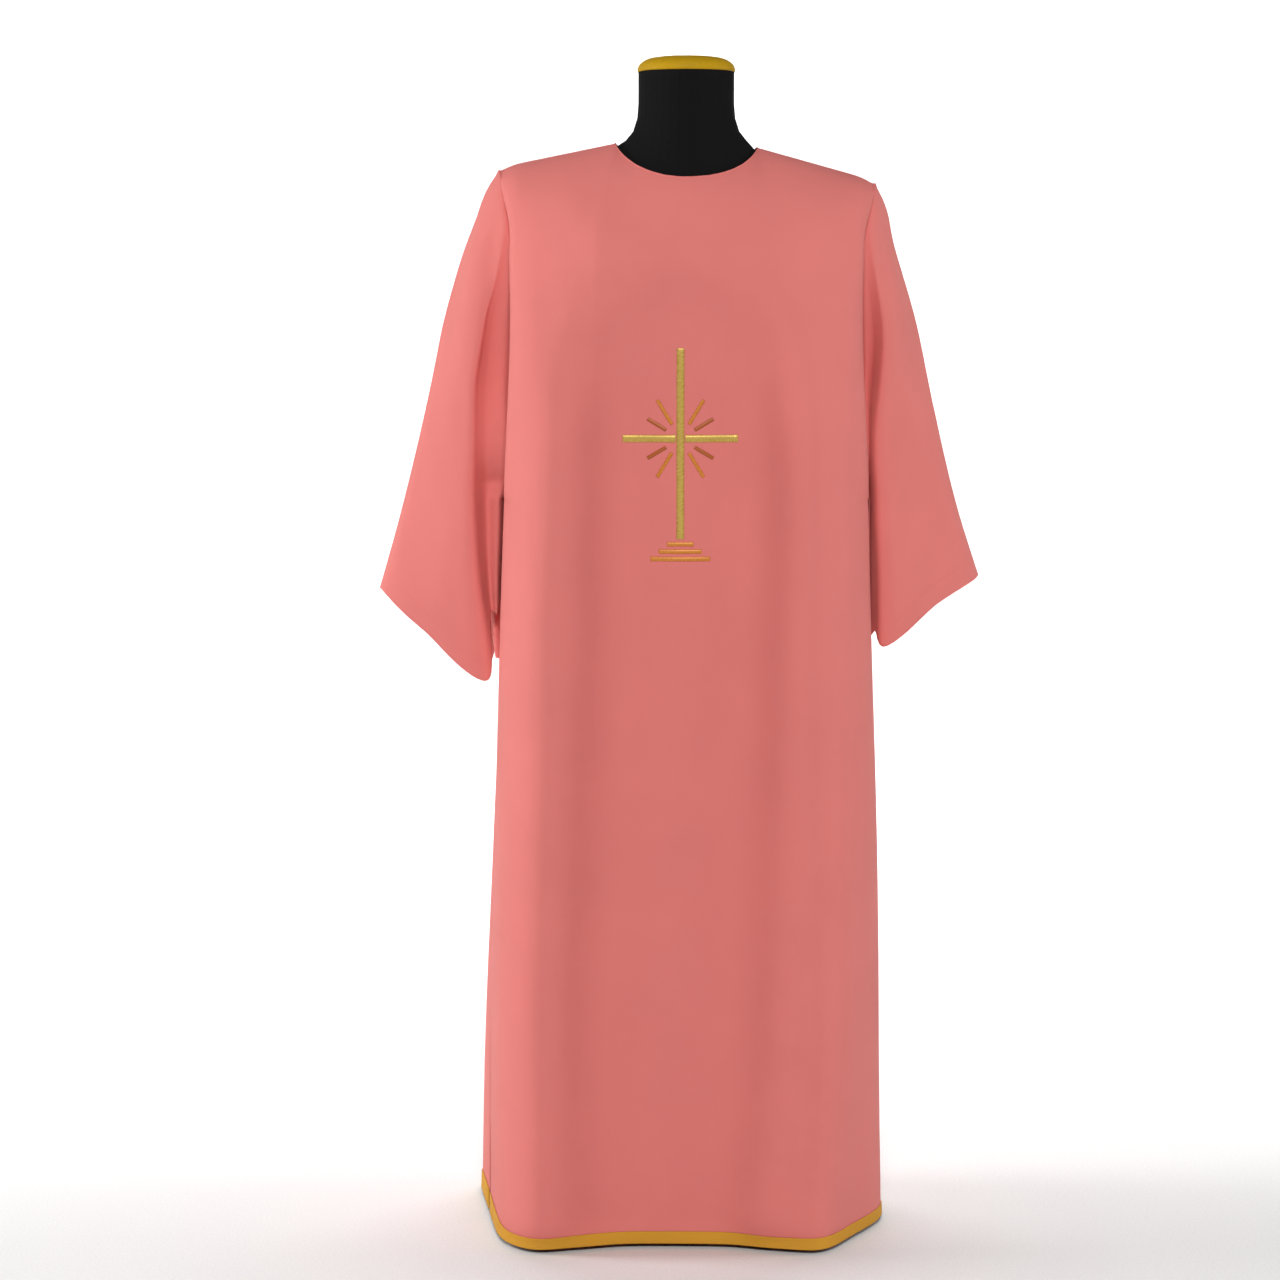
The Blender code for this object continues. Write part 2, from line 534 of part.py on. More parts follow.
def inset_outline(grid, normals, distance):
    """The grid with its outline drawn in by that distance, along the cloth."""
    loop = outline(*grid.shape[:2])
    points = np.array([grid[i] for i in loop])
    centre = np.array([grid[min(max(r, 1), grid.shape[0] - 2), min(max(c, 1), grid.shape[1] - 2)]
                       for r, c in loop])
    moved = grid.copy()
    for k, place in enumerate(loop):
        inward = []
        for other in (points[k] - points[k - 1], points[(k + 1) % len(loop)] - points[k]):
            side = np.cross(normals[place], other)
            side /= np.linalg.norm(side)
            inward.append(side * np.sign(side @ (centre[k] - points[k]) or 1))
        both = inward[0] + inward[1]
        moved[place] = grid[place] + distance * both / max(1 + inward[0] @ inward[1], 0.5)
    return moved


def wall_faces(rows, columns, points):
    """Faces of a closed wall: the outer grid's points come first, then the inner grid's. Its edges are split
    along their shorter diagonals, so that two pieces that meet at a seam are split alike."""
    def at(r, c, inner=0):
        return inner * rows * columns + r * columns + c

    faces = []
    for r in range(rows - 1):
        for c in range(columns - 1):
            quad = [at(r, c), at(r + 1, c), at(r + 1, c + 1), at(r, c + 1)]
            faces.append(quad)
            faces.append([i + rows * columns for i in reversed(quad)])
    loop = outline(rows, columns)
    for k, (r, c) in enumerate(loop):
        nr, nc = loop[(k + 1) % len(loop)]
        a, b, c_inner, d_inner = at(r, c), at(nr, nc), at(nr, nc, 1), at(r, c, 1)
        if np.linalg.norm(points[a] - points[c_inner]) < np.linalg.norm(points[b] - points[d_inner]):
            faces += [[a, b, c_inner], [a, c_inner, d_inner]]
        else:
            faces += [[a, b, d_inner], [b, c_inner, d_inner]]
    return faces


def add_object(name, points, faces, material):
    """An object from points and faces, with its faces turned outwards."""
    mesh = bpy.data.meshes.new(name)
    mesh.from_pydata([tuple(map(float, p)) for p in points], [], faces)
    mesh.validate()
    corners = np.array([mesh.vertices[i].co for p in mesh.polygons for i in p.vertices[:3]]).reshape(-1, 3, 3)
    extra = np.array([mesh.vertices[i].co for p in mesh.polygons if len(p.vertices) == 4
                      for i in (p.vertices[0], p.vertices[2], p.vertices[3])]).reshape(-1, 3, 3)
    corners = np.concatenate([corners, extra])
    if np.linalg.det(corners).sum() < 0:
        mesh.flip_normals()
    mesh.shade_smooth()
    mesh.set_sharp_from_angle(angle=math.radians(50))
    mesh.materials.append(bpy.data.materials[material])
    bpy.context.scene.collection.objects.link(bpy.data.objects.new(name, mesh))


def add_wall(name, grid, normals, thickness, material):
    """A wall from its outer points, its unit normals there, and its thickness."""
    outer = inset_outline(grid, normals, SEAM_GAP / 2)
    inner = outer - normals * thickness
    points = np.concatenate([outer.reshape(-1, 3), inner.reshape(-1, 3)])
    add_object(name, points, wall_faces(*grid.shape[:2], points), material)


# ---------------------------------------------------------------- the garment's pieces

def share_normals(places):
    """Gives the pieces that meet at a seam one normal there, so that their edges lie face to face."""
    total = sum(normals[place] for normals, place in places)
    total = total / np.linalg.norm(total)
    for normals, place in places:
        normals[place] = total


def cloth_pieces():
    """Name -> (outer grid, normals) for the two body panels and the four half sleeves."""
    grids = {"front": body_grid("front"), "back": body_grid("back")}
    for side in ("right", "left"):
        for panel in ("front", "back"):
            grids[f"sleeve_{side}_{panel}"] = sleeve_grid(side, panel)
    normals = {}
    for name, grid in grids.items():
        normal = grid_normals(grid)
        middle = normal[grid.shape[0] * 2 // 3, grid.shape[1] * 2 // 3]
        towards = 1 if "back" in name else -1
        normals[name] = normal * np.sign(middle[1] * towards)
    last = COLUMNS
    for side, edge in (("right", 0), ("left", last)):
        neck = int(round(COLUMNS * (1 - NECK_SHARE) / 2))
        shoulder = range(1, neck + 1) if edge == 0 else range(last - neck, last)
        for c in shoulder:
            share_normals([(normals["front"], (0, c)), (normals["back"], (0, c))])
        for r in range(SHOULDER_ROWS + ARMHOLE_ROWS + 1, SHOULDER_ROWS + len(LEVEL_ROWS) + 1):
            if LEVEL_ROWS[r - SHOULDER_ROWS - 1] >= SLIT_TOP_Z:
                share_normals([(normals["front"], (r, edge)), (normals["back"], (r, edge))])
        sleeves = [normals[f"sleeve_{side}_{panel}"] for panel in ("front", "back")]
        for r in range(1, SHOULDER_ROWS + ARMHOLE_ROWS):
            on_sleeve = (0, SHOULDER_ROWS - r) if r <= SHOULDER_ROWS else (r - SHOULDER_ROWS, 0)
            for panel, sleeve in zip(("front", "back"), sleeves):
                share_normals([(normals[panel], (r, edge)), (sleeve, on_sleeve)])
        share_normals([(normals["front"], (0, edge)), (normals["back"], (0, edge)),
                       (sleeves[0], (0, SHOULDER_ROWS)), (sleeves[1], (0, SHOULDER_ROWS))])
        foot = SHOULDER_ROWS + ARMHOLE_ROWS
        share_normals([(normals["front"], (foot, edge)), (normals["back"], (foot, edge)),
                       (sleeves[0], (ARMHOLE_ROWS, 0)), (sleeves[1], (ARMHOLE_ROWS, 0))])
        rows = sleeves[0].shape[0]
        for r in range(ARMHOLE_ROWS + 1, rows):
            share_normals([(sleeves[0], (r, 0)), (sleeves[1], (r, 0))])
        for r in range(1, rows):
            share_normals([(sleeves[0], (r, SHOULDER_ROWS)), (sleeves[1], (r, SHOULDER_ROWS))])
    return {name: (grids[name], normals[name]) for name in grids}


def add_braid(panel, grid, normals):
    """A flat braid sewn over the cloth's lower edge, made from the panel's own last rows."""
    bottom = grid[-1].copy()
    bottom[:, 2] = HEM_Z - BRAID_DROP
    share = BRAID_HEIGHT / (grid[-2][0, 2] - HEM_Z)
    top = grid[-1] + (grid[-2] - grid[-1]) * share
    normal = normals[-1] * (1, 1, 0)
    normal /= np.linalg.norm(normal, axis=1, keepdims=True)
    band = np.array([top, (top + bottom) / 2, bottom])
    band += normal * (SEAM_GAP + BRAID_WALL)
    out = np.array([normal] * 3)
    add_wall(f"hem_braid_{panel}", band, out, BRAID_WALL, "gold_braid")


def front_surface(x, z):
    """The front panel's outer point at x and z, below the chest section, and its normal."""
    def point(px, pz):
        section = level_section("front", np.linspace(-0.9, 0.9, 91), pz)
        return np.array([px, np.interp(px, section[:, 0], section[:, 1]), pz])

    here, step = point(x, z), 0.004
    normal = np.cross(point(x, z + step) - here, point(x + step, z) - here)
    normal /= np.linalg.norm(normal)
    return here, normal * -np.sign(normal[1])


def add_bar(name, x, z, length, width, turn, material):
    """A flat embroidered bar that follows the front panel."""
    turn = math.radians(turn)
    along, over = np.array([math.sin(turn), math.cos(turn)]), np.array([math.cos(turn), -math.sin(turn)])
    steps = max(2, round(length / BAR_STEP))
    grid, normals = np.zeros((steps + 1, 3, 3)), np.zeros((steps + 1, 3, 3))
    for i, a in enumerate(np.linspace(-length / 2, length / 2, steps + 1)):
        for j, b in enumerate((-width / 2, 0, width / 2)):
            px, pz = np.array([x, z]) + along * a + over * b
            here, normals[i, j] = front_surface(px, pz)
            crown = EMBLEM_WALL * (1 if j == 1 else BAR_EDGE)
            grid[i, j] = here + normals[i, j] * (EMBLEM_LIFT + crown)
    points = np.concatenate([grid.reshape(-1, 3), (grid - normals * EMBLEM_WALL * BAR_EDGE).reshape(-1, 3)])
    add_object(name, points, wall_faces(steps + 1, 3, points), material)


def emblem_bars():
    """The emblem's rows: the cross, eight rays between its arms, and three steps below its foot."""
    rows = list(EMBLEM_BARS)
    for quarter, (sx, sz) in enumerate(((-1, 1), (1, 1), (-1, -1), (1, -1))):
        for n, (lean, length) in enumerate(EMBLEM_RAYS):
            turn = math.radians(lean)
            away = RAY_START + length / 2
            x, z = sx * math.sin(turn) * away, sz * math.cos(turn) * away
            rows.append((f"emblem_ray_{quarter + 1}_{n + 1}", x, z, length, RAY_WIDTH, sx * sz * lean,
                         "amber_thread"))
    for n, width in enumerate(STEP_WIDTHS):
        z = LOWEST_STEP_Z + STEP_RISE * n - CROSSING[1]
        rows.append((f"emblem_step_{n + 1}", 0.0, z, width, STEP_HEIGHT, 90.0, "amber_thread"))
    return rows


# ---------------------------------------------------------------- the dress form

def ring_points(ring, cloth):
    """One ring of the dress form, counter-clockwise seen from above, starting at the front."""
    side_x, side_z, front_y, front_z, back_y, back_z = ring
    points = []
    for k in range(FORM_SIDES):
        a = 2 * math.pi * k / FORM_SIDES
        over, deep = math.sin(a), math.cos(a)
        side = "right" if over < 0 else "left"
        level = shoulder_z(side, side_x) if side_z is None else side_z
        x = math.copysign(abs(over) ** 0.95, over) * side_x
        y = -(abs(deep) ** 0.9) * front_y if deep > 0 else abs(deep) ** 0.9 * back_y
        end_z = front_z if deep > 0 else back_z
        z = end_z + (level - end_z) * abs(over) ** 2.2
        points.append(kept_inside(Vector((x, y, z)), cloth))
    return points


def collar_ring(pieces):
    """The ring where the form comes out of the neckline, just inside its edge."""
    points = []
    for k in range(FORM_SIDES):
        a = 2 * math.pi * k / FORM_SIDES
        name, reach = ("front", NECK_FRONT + SEAM_Y) if math.cos(a) > 0 else ("back", NECK_BACK - SEAM_Y)
        edge = pieces[name][0][0]
        edge_z = np.interp(NECK_HALF * math.sin(a), edge[:, 0], edge[:, 2])
        points.append(((NECK_HALF - COLLAR_GAP) * math.sin(a), SEAM_Y - (reach - COLLAR_GAP) * math.cos(a),
                       edge_z - CLOTH - FORM_CLEAR))
    return points


def kept_inside(point, cloth):
    """The point, drawn in towards the form's middle where it would come too near the cloth."""
    middle = Vector((0.6 * point.x, 0.0, min(point.z, FORM_MIDDLE_Z)))
    way = point - middle
    hit, normal, _, distance = cloth.ray_cast(middle, way.normalized())
    if hit is None:
        return point
    room = distance - FORM_CLEAR / max(abs(normal.dot(way.normalized())), 0.3)
    return middle + way.normalized() * min(way.length, room)


def cloth_inside(pieces):
    """The inner faces of the two body panels, to measure from."""
    points, faces = [], []
    for name in ("front", "back"):
        grid, normals = pieces[name]
        first = len(points)
        rows, columns = grid.shape[:2]
        points += [Vector(p) for p in (grid - normals * CLOTH).reshape(-1, 3)]
        for r in range(rows - 1):
            for c in range(columns - 1):
                at = first + r * columns + c
                faces.append((at, at + 1, at + columns + 1, at + columns))
    return BVHTree.FromPolygons(points, faces)


def add_rings(name, rings, material):
    """A closed solid through rings of equal length, from the top down, with flat ends."""
    count = len(rings[0])
    points = [p for ring in rings for p in ring]
    faces = [list(range(count)), [(len(rings) - 1) * count + k for k in reversed(range(count))]]
    for r in range(len(rings) - 1):
        for k in range(count):
            n = (k + 1) % count
            faces.append([r * count + k, (r + 1) * count + k, (r + 1) * count + n, r * count + n])
    return add_object(name, points, faces, material)


def turned(profile, sides):
    """Rings of a round piece from its profile of (radius, z), from the top down."""
    return [[(r * math.sin(2 * math.pi * k / sides), -r * math.cos(2 * math.pi * k / sides), z)
             for k in range(sides)] for r, z in profile]


def add_dress_form(pieces):
    cloth = cloth_inside(pieces)
    rings = [ring_points(ring, cloth) for ring in NECK_RINGS] + [collar_ring(pieces)]
    rings += [ring_points(ring, cloth) for ring in BODY_RINGS]
    add_rings("form_torso", rings, "black_jersey")
    cap = [(radius, CAP_TOP_Z - drop) for radius, drop in CAP_PROFILE]
    add_rings("form_neck_cap", turned(cap, FORM_SIDES), "gold_cap")
    pole = ((POLE_RADIUS, FORM_BOTTOM_Z - SEAM_GAP), (POLE_RADIUS, FOOT_HEIGHT + SEAM_GAP))
    add_rings("form_pole", turned(pole, POLE_SIDES), "steel")
    foot = ((FOOT_RADIUS - FOOT_BEVEL, FOOT_HEIGHT), (FOOT_RADIUS, FOOT_HEIGHT - FOOT_BEVEL),
            (FOOT_RADIUS, FOOT_BEVEL), (FOOT_RADIUS - FOOT_BEVEL, 0.0))
    add_rings("form_foot", turned(foot, FOOT_SIDES), "steel")


# ---------------------------------------------------------------- building it

def clear_scene():
    for old in list(bpy.data.objects):
        bpy.data.objects.remove(old)


def add_materials():
    for name, (colour, roughness, metallic) in MATERIALS.items():
        material = bpy.data.materials.new(name)
        material.use_nodes = True
        shader = material.node_tree.nodes["Principled BSDF"]
        shader.inputs["Base Color"].default_value = (*colour, 1.0)
        shader.inputs["Roughness"].default_value = roughness
        shader.inputs["Metallic"].default_value = metallic
        material.diffuse_color = (*colour, 1.0)


def main():
    clear_scene()
    add_materials()
    pieces = cloth_pieces()
    for name, (grid, normals) in pieces.items():
        add_wall(f"{name}_panel" if name in ("front", "back") else name, grid, normals, CLOTH, "rose_cloth")
    for panel in ("front", "back"):
        add_braid(panel, *pieces[panel])
    for name, x, z, length, width, turn, material in emblem_bars():
        add_bar(name, CROSSING[0] + x, CROSSING[1] + z, length, width, turn, material)
    add_dress_form(pieces)


main()
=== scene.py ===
"""A rose dalmatic worn by a limbless dress form: the looks of each piece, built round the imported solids.

The garment's surfaces come from the same named sizes and tables as its solids. Each panel is a thin cloth
with its creases, turned hems and seam allowances; the braid, the stitches, the neckline's piping and the
embroidery are made from the panels' own points. Units are metres, +Z is up and the front faces -Y. Left and
right are the wearer's own: the wearer's right side is at -X.
"""

import math

import bmesh
import bpy
import numpy as np
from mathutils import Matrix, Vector
from mathutils.bvhtree import BVHTree
from mathutils.kdtree import KDTree


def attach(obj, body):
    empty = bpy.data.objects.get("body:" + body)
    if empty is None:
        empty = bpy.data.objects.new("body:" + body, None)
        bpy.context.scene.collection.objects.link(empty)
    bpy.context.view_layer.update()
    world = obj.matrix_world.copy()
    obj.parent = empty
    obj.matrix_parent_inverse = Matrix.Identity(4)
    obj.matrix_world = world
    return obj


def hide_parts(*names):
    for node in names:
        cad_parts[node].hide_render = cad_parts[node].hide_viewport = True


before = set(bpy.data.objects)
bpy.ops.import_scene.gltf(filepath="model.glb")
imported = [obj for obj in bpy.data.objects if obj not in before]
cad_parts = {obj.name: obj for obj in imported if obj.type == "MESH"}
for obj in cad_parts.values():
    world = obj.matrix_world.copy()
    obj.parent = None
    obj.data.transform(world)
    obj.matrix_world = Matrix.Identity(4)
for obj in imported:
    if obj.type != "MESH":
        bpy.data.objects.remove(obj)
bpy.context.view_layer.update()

SIDES = ("right", "left")
PANELS = ("front", "back")
FACES = {"front": -1, "back": 1}   # the way each panel faces, along Y


def table(names, rows):
    """A table's columns as arrays, by name."""
    return {name: np.array(column, float) for name, column in zip(names.split(), zip(*rows))}


# ---- the garment's sizes

SEAM_GAP = 0.0003           # between two pieces at a seam
SEAM_Y = -0.008             # the shoulder and sleeve-top seams lie this far in front of the ridge
SEAM_FALL = 0.16            # how steeply the cloth already falls forward there
SEAM_SINK = 0.0006          # and how far it has fallen
SHOULDER_FULLNESS = 1.10    # how rounded the cloth is between the shoulder and the chest
SHOULDER_REACH = 0.150      # the length over which a column turns from the shoulder's slope to the chest's
POINT_LEAN = 0.25           # how far the armhole seam leans in, for each metre below the shoulder point

HEM_Z = 0.008               # lower edge of the cloth
CHEST_Z = 1.200             # the highest level section; above it the cloth rises to the shoulders
CHEST_STEP = 0.03           # the section this far below it gives the slope there
UNDERARM_Z = 0.920          # foot of the armhole

NECK_HALF = 0.087           # half the width of the neck opening
NECK_REACH = {"front": 0.080, "back": 0.066}    # how far the neckline reaches from the ridge
NECK_FALL = {"front": 0.08, "back": -0.10}      # the slope at the middle of the ridge, were there no opening
NECK_FULLNESS = {"front": 1.30, "back": 1.90}   # how rounded the cloth is between there and the chest
NECK_SHARE = 1 / 3          # the share of the top edge, as columns, that is neckline
NECK_STEPS = 401            # places tried down each column for the neckline
INSIDE_NECK = 0.9999        # just under 1, so that a point on the opening's own line counts as outside it

# One row for each shoulder: which side, the seam's height at the neck, and the shoulder point.
SHOULDERS = {
    "right": {"sign": -1, "neck_z": 1.352, "point_x": 0.229, "point_z": 1.323},
    "left": {"sign": 1, "neck_z": 1.347, "point_x": 0.231, "point_z": 1.307},
}

ARMHOLE_HALF = 0.054        # half the front-to-back width of an armhole
OVAL = 0.5                  # as a power, this makes the armhole an oval
ALMOND = 1.5                # and this an almond, which starts and ends without a corner
ARMHOLE_PACE = 1.25         # its points crowd towards the shoulder by this power
EDGE_SHARE = 0.72           # beyond this share of the way to its side a panel takes on its seam's own shape
SLIT_TOP_Z = 0.250          # the side seams end here, and the sides are open below
SLIT_HALF = 0.006           # half the width of a side slit at the hem
SLIT_POWER = 0.7            # how soon a slit opens

# ---- the body of the garment, by level sections

# right, left: half widths. front, back: depths before the folds. The four corners say how square the section
# is there, where a smaller number is squarer. shear: how far the back of the section has swung towards the
# wearer's right, for each metre of depth.
BODY = table("z right left front back right_front_corner left_front_corner right_back_corner"
             " left_back_corner shear", (
    (0.000, 0.2480, 0.2495, 0.1650, 0.160, 0.30, 1.40, 0.18, 0.55, 0.155),
    (0.220, 0.2465, 0.2430, 0.1625, 0.153, 0.26, 0.90, 0.25, 0.58, 0.135),
    (0.470, 0.2400, 0.2360, 0.1640, 0.143, 0.33, 0.60, 0.40, 0.60, 0.090),
    (0.690, 0.2320, 0.2290, 0.1630, 0.135, 0.39, 0.44, 0.54, 0.60, 0.030),
    (0.800, 0.2275, 0.2255, 0.1640, 0.131, 0.41, 0.41, 0.60, 0.60, 0.010),
    (0.920, 0.2220, 0.2220, 0.1640, 0.127, 0.42, 0.42, 0.60, 0.60, 0.000),
    (1.020, 0.2165, 0.2165, 0.1610, 0.124, 0.45, 0.47, 0.60, 0.60, 0.000),
    (1.110, 0.2140, 0.2135, 0.1525, 0.121, 0.52, 0.60, 0.62, 0.62, 0.000),
    (1.200, 0.2145, 0.2140, 0.1310, 0.117, 0.64, 0.72, 0.66, 0.66, 0.000),
    (1.260, 0.2180, 0.2180, 0.110, 0.105, 0.70, 0.70, 0.70, 0.70, 0.000),
    (1.330, 0.2310, 0.2310, 0.090, 0.090, 0.70, 0.70, 0.70, 0.70, 0.000),
))

# The channel down the middle of the front, between the two folds that fall from the chest: where its two
# banks run, how wide each bank is, and how deep the channel lies.
CHANNEL = table("z right_bank left_bank right_width left_width depth", (
    (0.000, -0.133, 0.060, 0.044, 0.032, 0.0340),
    (0.280, -0.138, 0.080, 0.045, 0.035, 0.0365),
    (0.530, -0.128, 0.093, 0.045, 0.039, 0.0435),
    (0.780, -0.117, 0.105, 0.045, 0.040, 0.0500),
    (0.920, -0.117, 0.112, 0.043, 0.038, 0.0510),
    (1.010, -0.120, 0.113, 0.038, 0.036, 0.0440),
    (1.100, -0.122, 0.108, 0.033, 0.034, 0.0280),
    (1.150, -0.121, 0.103, 0.030, 0.032, 0.0100),
    (1.200, -0.120, 0.099, 0.028, 0.030, 0.0015),
))
ARCH_RISE = 0.050           # the channel starts this much higher at the middle than at its banks
ARCH_HALF = 0.11            # half the width of that arch

# The other folds. A row is a soft ridge (or, with a minus, a trough) that runs from head to foot: its place
# across the garment there, its width, how far it stands out at its foot, where it starts, and the length
# over which it fades in.
FOLDS = {
    # head_x, foot_x, width, stands, head_z, fade
    "front": (
        (-0.168, -0.217, 0.038, 0.018, 1.12, 0.30),
        (0.194, 0.145, 0.041, 0.027, 1.10, 0.90),
    ),
    "back": (
        (-0.150, -0.175, 0.034, 0.012, 1.16, 0.50),
        (-0.085, -0.098, 0.030, -0.013, 1.10, 0.45),
        (-0.020, -0.024, 0.034, 0.009, 1.02, 0.50),
        (0.050, 0.058, 0.032, -0.012, 1.08, 0.45),
        (0.122, 0.140, 0.034, 0.013, 1.16, 0.50),
    ),
}
FOLD_GROWTH = 0.45          # the share of its height that a fold gains on its way down
FOLD_CORNER = 0.45          # folds and channel fade out from here to the panel's side

# ---- the sleeves, by level sections

# Each sleeve falls from its shoulder point as a flat fan. Beside the body it folds back into a trench, then
# comes forward again over a ridge. inner: the underarm seam, used below the armhole. ridge: the trench's far
# wall. outer: the fold down the sleeve's outside. The last three are how far from the sleeve's middle the
# ridge's crest and the trench's floor lie, with a floor of its own in front and behind.
SLEEVE_COLUMNS = "z inner ridge outer crest_y front_floor_y back_floor_y"
SLEEVES = {
    "right": table(SLEEVE_COLUMNS, (
        (0.690, 0.2320, 0.2330, 0.4160, 0.050, 0.020, 0.015),
        (0.740, 0.2310, 0.2390, 0.4000, 0.054, 0.020, 0.015),
        (0.806, 0.2295, 0.2480, 0.3800, 0.057, 0.020, 0.016),
        (0.900, 0.2248, 0.2540, 0.3530, 0.058, 0.021, 0.017),
        (1.044, 0.2180, 0.2530, 0.3175, 0.056, 0.032, 0.022),
        (1.160, 0.2140, 0.2500, 0.2930, 0.050, 0.034, 0.026),
        (1.240, 0.2150, 0.2475, 0.2740, 0.040, 0.031, 0.026),
        (1.285, 0.2200, 0.2410, 0.2575, 0.026, 0.021, 0.019),
        (1.323, 0.2290, 0.2330, 0.2420, 0.014, 0.011, 0.011),
    )),
    "left": table(SLEEVE_COLUMNS, (
        (0.690, 0.2320, 0.2355, 0.4100, 0.050, 0.017, 0.017),
        (0.740, 0.2308, 0.2345, 0.3920, 0.052, 0.017, 0.017),
        (0.822, 0.2285, 0.2326, 0.3640, 0.052, 0.017, 0.017),
        (0.900, 0.2245, 0.2290, 0.3385, 0.052, 0.018, 0.018),
        (1.030, 0.2165, 0.2275, 0.3060, 0.056, 0.024, 0.024),
        (1.130, 0.2135, 0.2385, 0.2845, 0.054, 0.026, 0.026),
        (1.220, 0.2150, 0.2400, 0.2640, 0.044, 0.024, 0.024),
        (1.270, 0.2190, 0.2350, 0.2530, 0.030, 0.019, 0.019),
        (1.308, 0.2310, 0.2320, 0.2420, 0.014, 0.011, 0.011),
    )),
}

# Heights of the cuff's edge: at the underarm seam, along the trench, on the ridge's wall and crest, halfway
# down its slope, and at the outer corner.
CUFFS = {
    "right": dict(inner=0.790, trench=0.776, wall=0.752, crest=0.700, middle=0.757, outer=0.806),
    "left": dict(inner=0.800, trench=0.784, wall=0.756, crest=0.738, middle=0.789, outer=0.822),
}
BACK_CUFF_RISE = 0.012      # the back half of each cuff hangs this much higher at the ridge
OUTSIDE_DROP = 0.004        # the cuff hangs this much lower just inside its outer corner
BACK_RIDGE = 0.86           # the back's sleeve ridge stands out this much of the front's
LEVEL_FLOOR = 0.040         # the trench's floor is level with the armhole's seam to this far above its foot
LEVEL_FLOOR_FADE = 0.110    # and drops back behind it over this length
TRENCH_CLEAR = 0.0026       # the trench's near side leaves the body by at least this
TRENCH_NEAR = 0.16          # the trench's two sides, as shares of the way from the seam to the ridge
TRENCH_FAR = 0.76
WALL_LEAN = 0.006           # the ridge's crest lies this far out from its wall's middle
SLOPE_MIDDLE = 0.54         # the middle of the ridge's slope, as a share of the way out
SLOPE_Y = 0.76              # and its depth, as a share of the crest's
OUTSIDE_ROUND = 0.007       # the sleeve's outside is rounded over this much
FRONT_OUTSIDE_Y = 0.020     # how far from the sleeve's middle its outside is still rounded, in front
BACK_OUTSIDE_Y = 0.010      # and behind
HEAD_SHARE = 0.40           # over this share of the sleeve's length its rows settle from the armhole's curve

# The sleeve's named lines, from the body outwards, as places among its columns: the seam, the trench's two
# sides, the middle and the crest of the ridge's wall, the middle of its slope, and the two sides of the
# rounded outside.
SLEEVE_COUNT = 12
SLEEVE_KEYS = (0.0, 1.0, 3.0, 4.2, 5.4, 8.2, 10.8, 12.0)

# ---- mesh density

COLUMNS = 36                # across a body panel of the solids; a third of them are neckline
LEVEL_ROWS = (1.165, 1.130, 1.090, 1.045, 1.000, 0.965, 0.938, 0.920, 0.870, 0.810, 0.740, 0.660, 0.580,
              0.490, 0.400, 0.320, 0.250, 0.180, 0.110, 0.050, HEM_Z)
ARMHOLE_ROWS = 8            # of the level rows, down to UNDERARM_Z
UNDERARM_ROWS = (0.908, 0.890, 0.865, 0.835)   # heights of the sleeve's rows along its underarm seam
FINER = 5                   # columns and shoulder rows of the cloth for each one of the solids
FINER_LEVELS = 7            # rows of the cloth for each level row of the solids
NECK_START = int(round(COLUMNS * (1 - NECK_SHARE) / 2)) * FINER   # the cloth's columns at the neckline
NECK_STOP = COLUMNS * FINER + 1 - NECK_START
MIDDLE_COLUMNS = 16         # columns beside a panel's middle that share out the step there

# ---- emblem and cap

CROSSING = (-0.008, 0.997)  # x and z of the emblem's middle
# The cross's bars, placed from the crossing. turn is from upright, in degrees.
CROSS_BARS = (
    # name, x, z, length, width, turn
    ("emblem_upright", 0.0, -0.0065, 0.2290, 0.0095, 0.0),
    ("emblem_arm_right", -0.0375, 0.0, 0.0640, 0.0090, 90.0),
    ("emblem_arm_left", 0.0375, 0.0, 0.0640, 0.0090, 90.0),
)
# The two rays in each quarter of the cross. lean is from upright, in degrees.
EMBLEM_RAYS = (
    # lean, length
    (31.0, 0.034),
    (59.0, 0.026),
)
RAY_START = 0.020           # the rays leave this circle round the crossing
RAY_WIDTH = 0.0045
STEP_WIDTHS = (0.072, 0.052, 0.032)   # the three steps, from the lowest up
STEP_RISE = 0.0090
STEP_HEIGHT = 0.0055
LOWEST_STEP_Z = 0.852

THREAD_PITCH = 0.00055      # of the satin stitch
THREAD_CROWN = 0.0013       # how high a bar stands at its middle
THREAD_UNEVEN = 0.00018     # how far the threads' ends stray
THREAD_SLANT = 0.35         # how far a thread runs along the bar, for its width
THREAD_RIPPLE = (-0.00016, 0.00004)   # the dips between threads, and the threads
BAR_END = 0.35              # a bar's height at its two ends, as a share of its crown
CROWN_POWER = 2.6           # how square a bar is across,
END_POWER = 40              # and at its ends
SLANT_POWER = 8             # how late the slant fades towards a bar's ends
THREAD_LIFT = 0.00015       # a bar's edge stands this far off the cloth
THREAD_SINK = 0.0004        # and its underside lies this far in it
THREAD_SPOTS = (-1.0, -0.93, -0.72, -0.40, 0.0, 0.40, 0.72, 0.93, 1.0)   # places across a bar

NECK_TOP_Z = 1.4375
# The flat, rounded cap on the neck, from the top down. drop is below its top.
CAP_TOP_Z = 1.4560
CAP_PROFILE = (
    # radius, drop
    (0.0200, 0.0),
    (0.0380, 0.0008),
    (0.0500, 0.0040),
    (0.0580, 0.0105),
    (0.0595, 0.0147),
    (0.0595, CAP_TOP_Z - NECK_TOP_Z - SEAM_GAP),
)
CAP_SIDES = 96
CAP_RINGS = 25
CAP_MIDDLE = (0.0008, 0.010)   # radii of the two rings inside the profile, on the cap's flat top

# ---- cloth, hems and creases

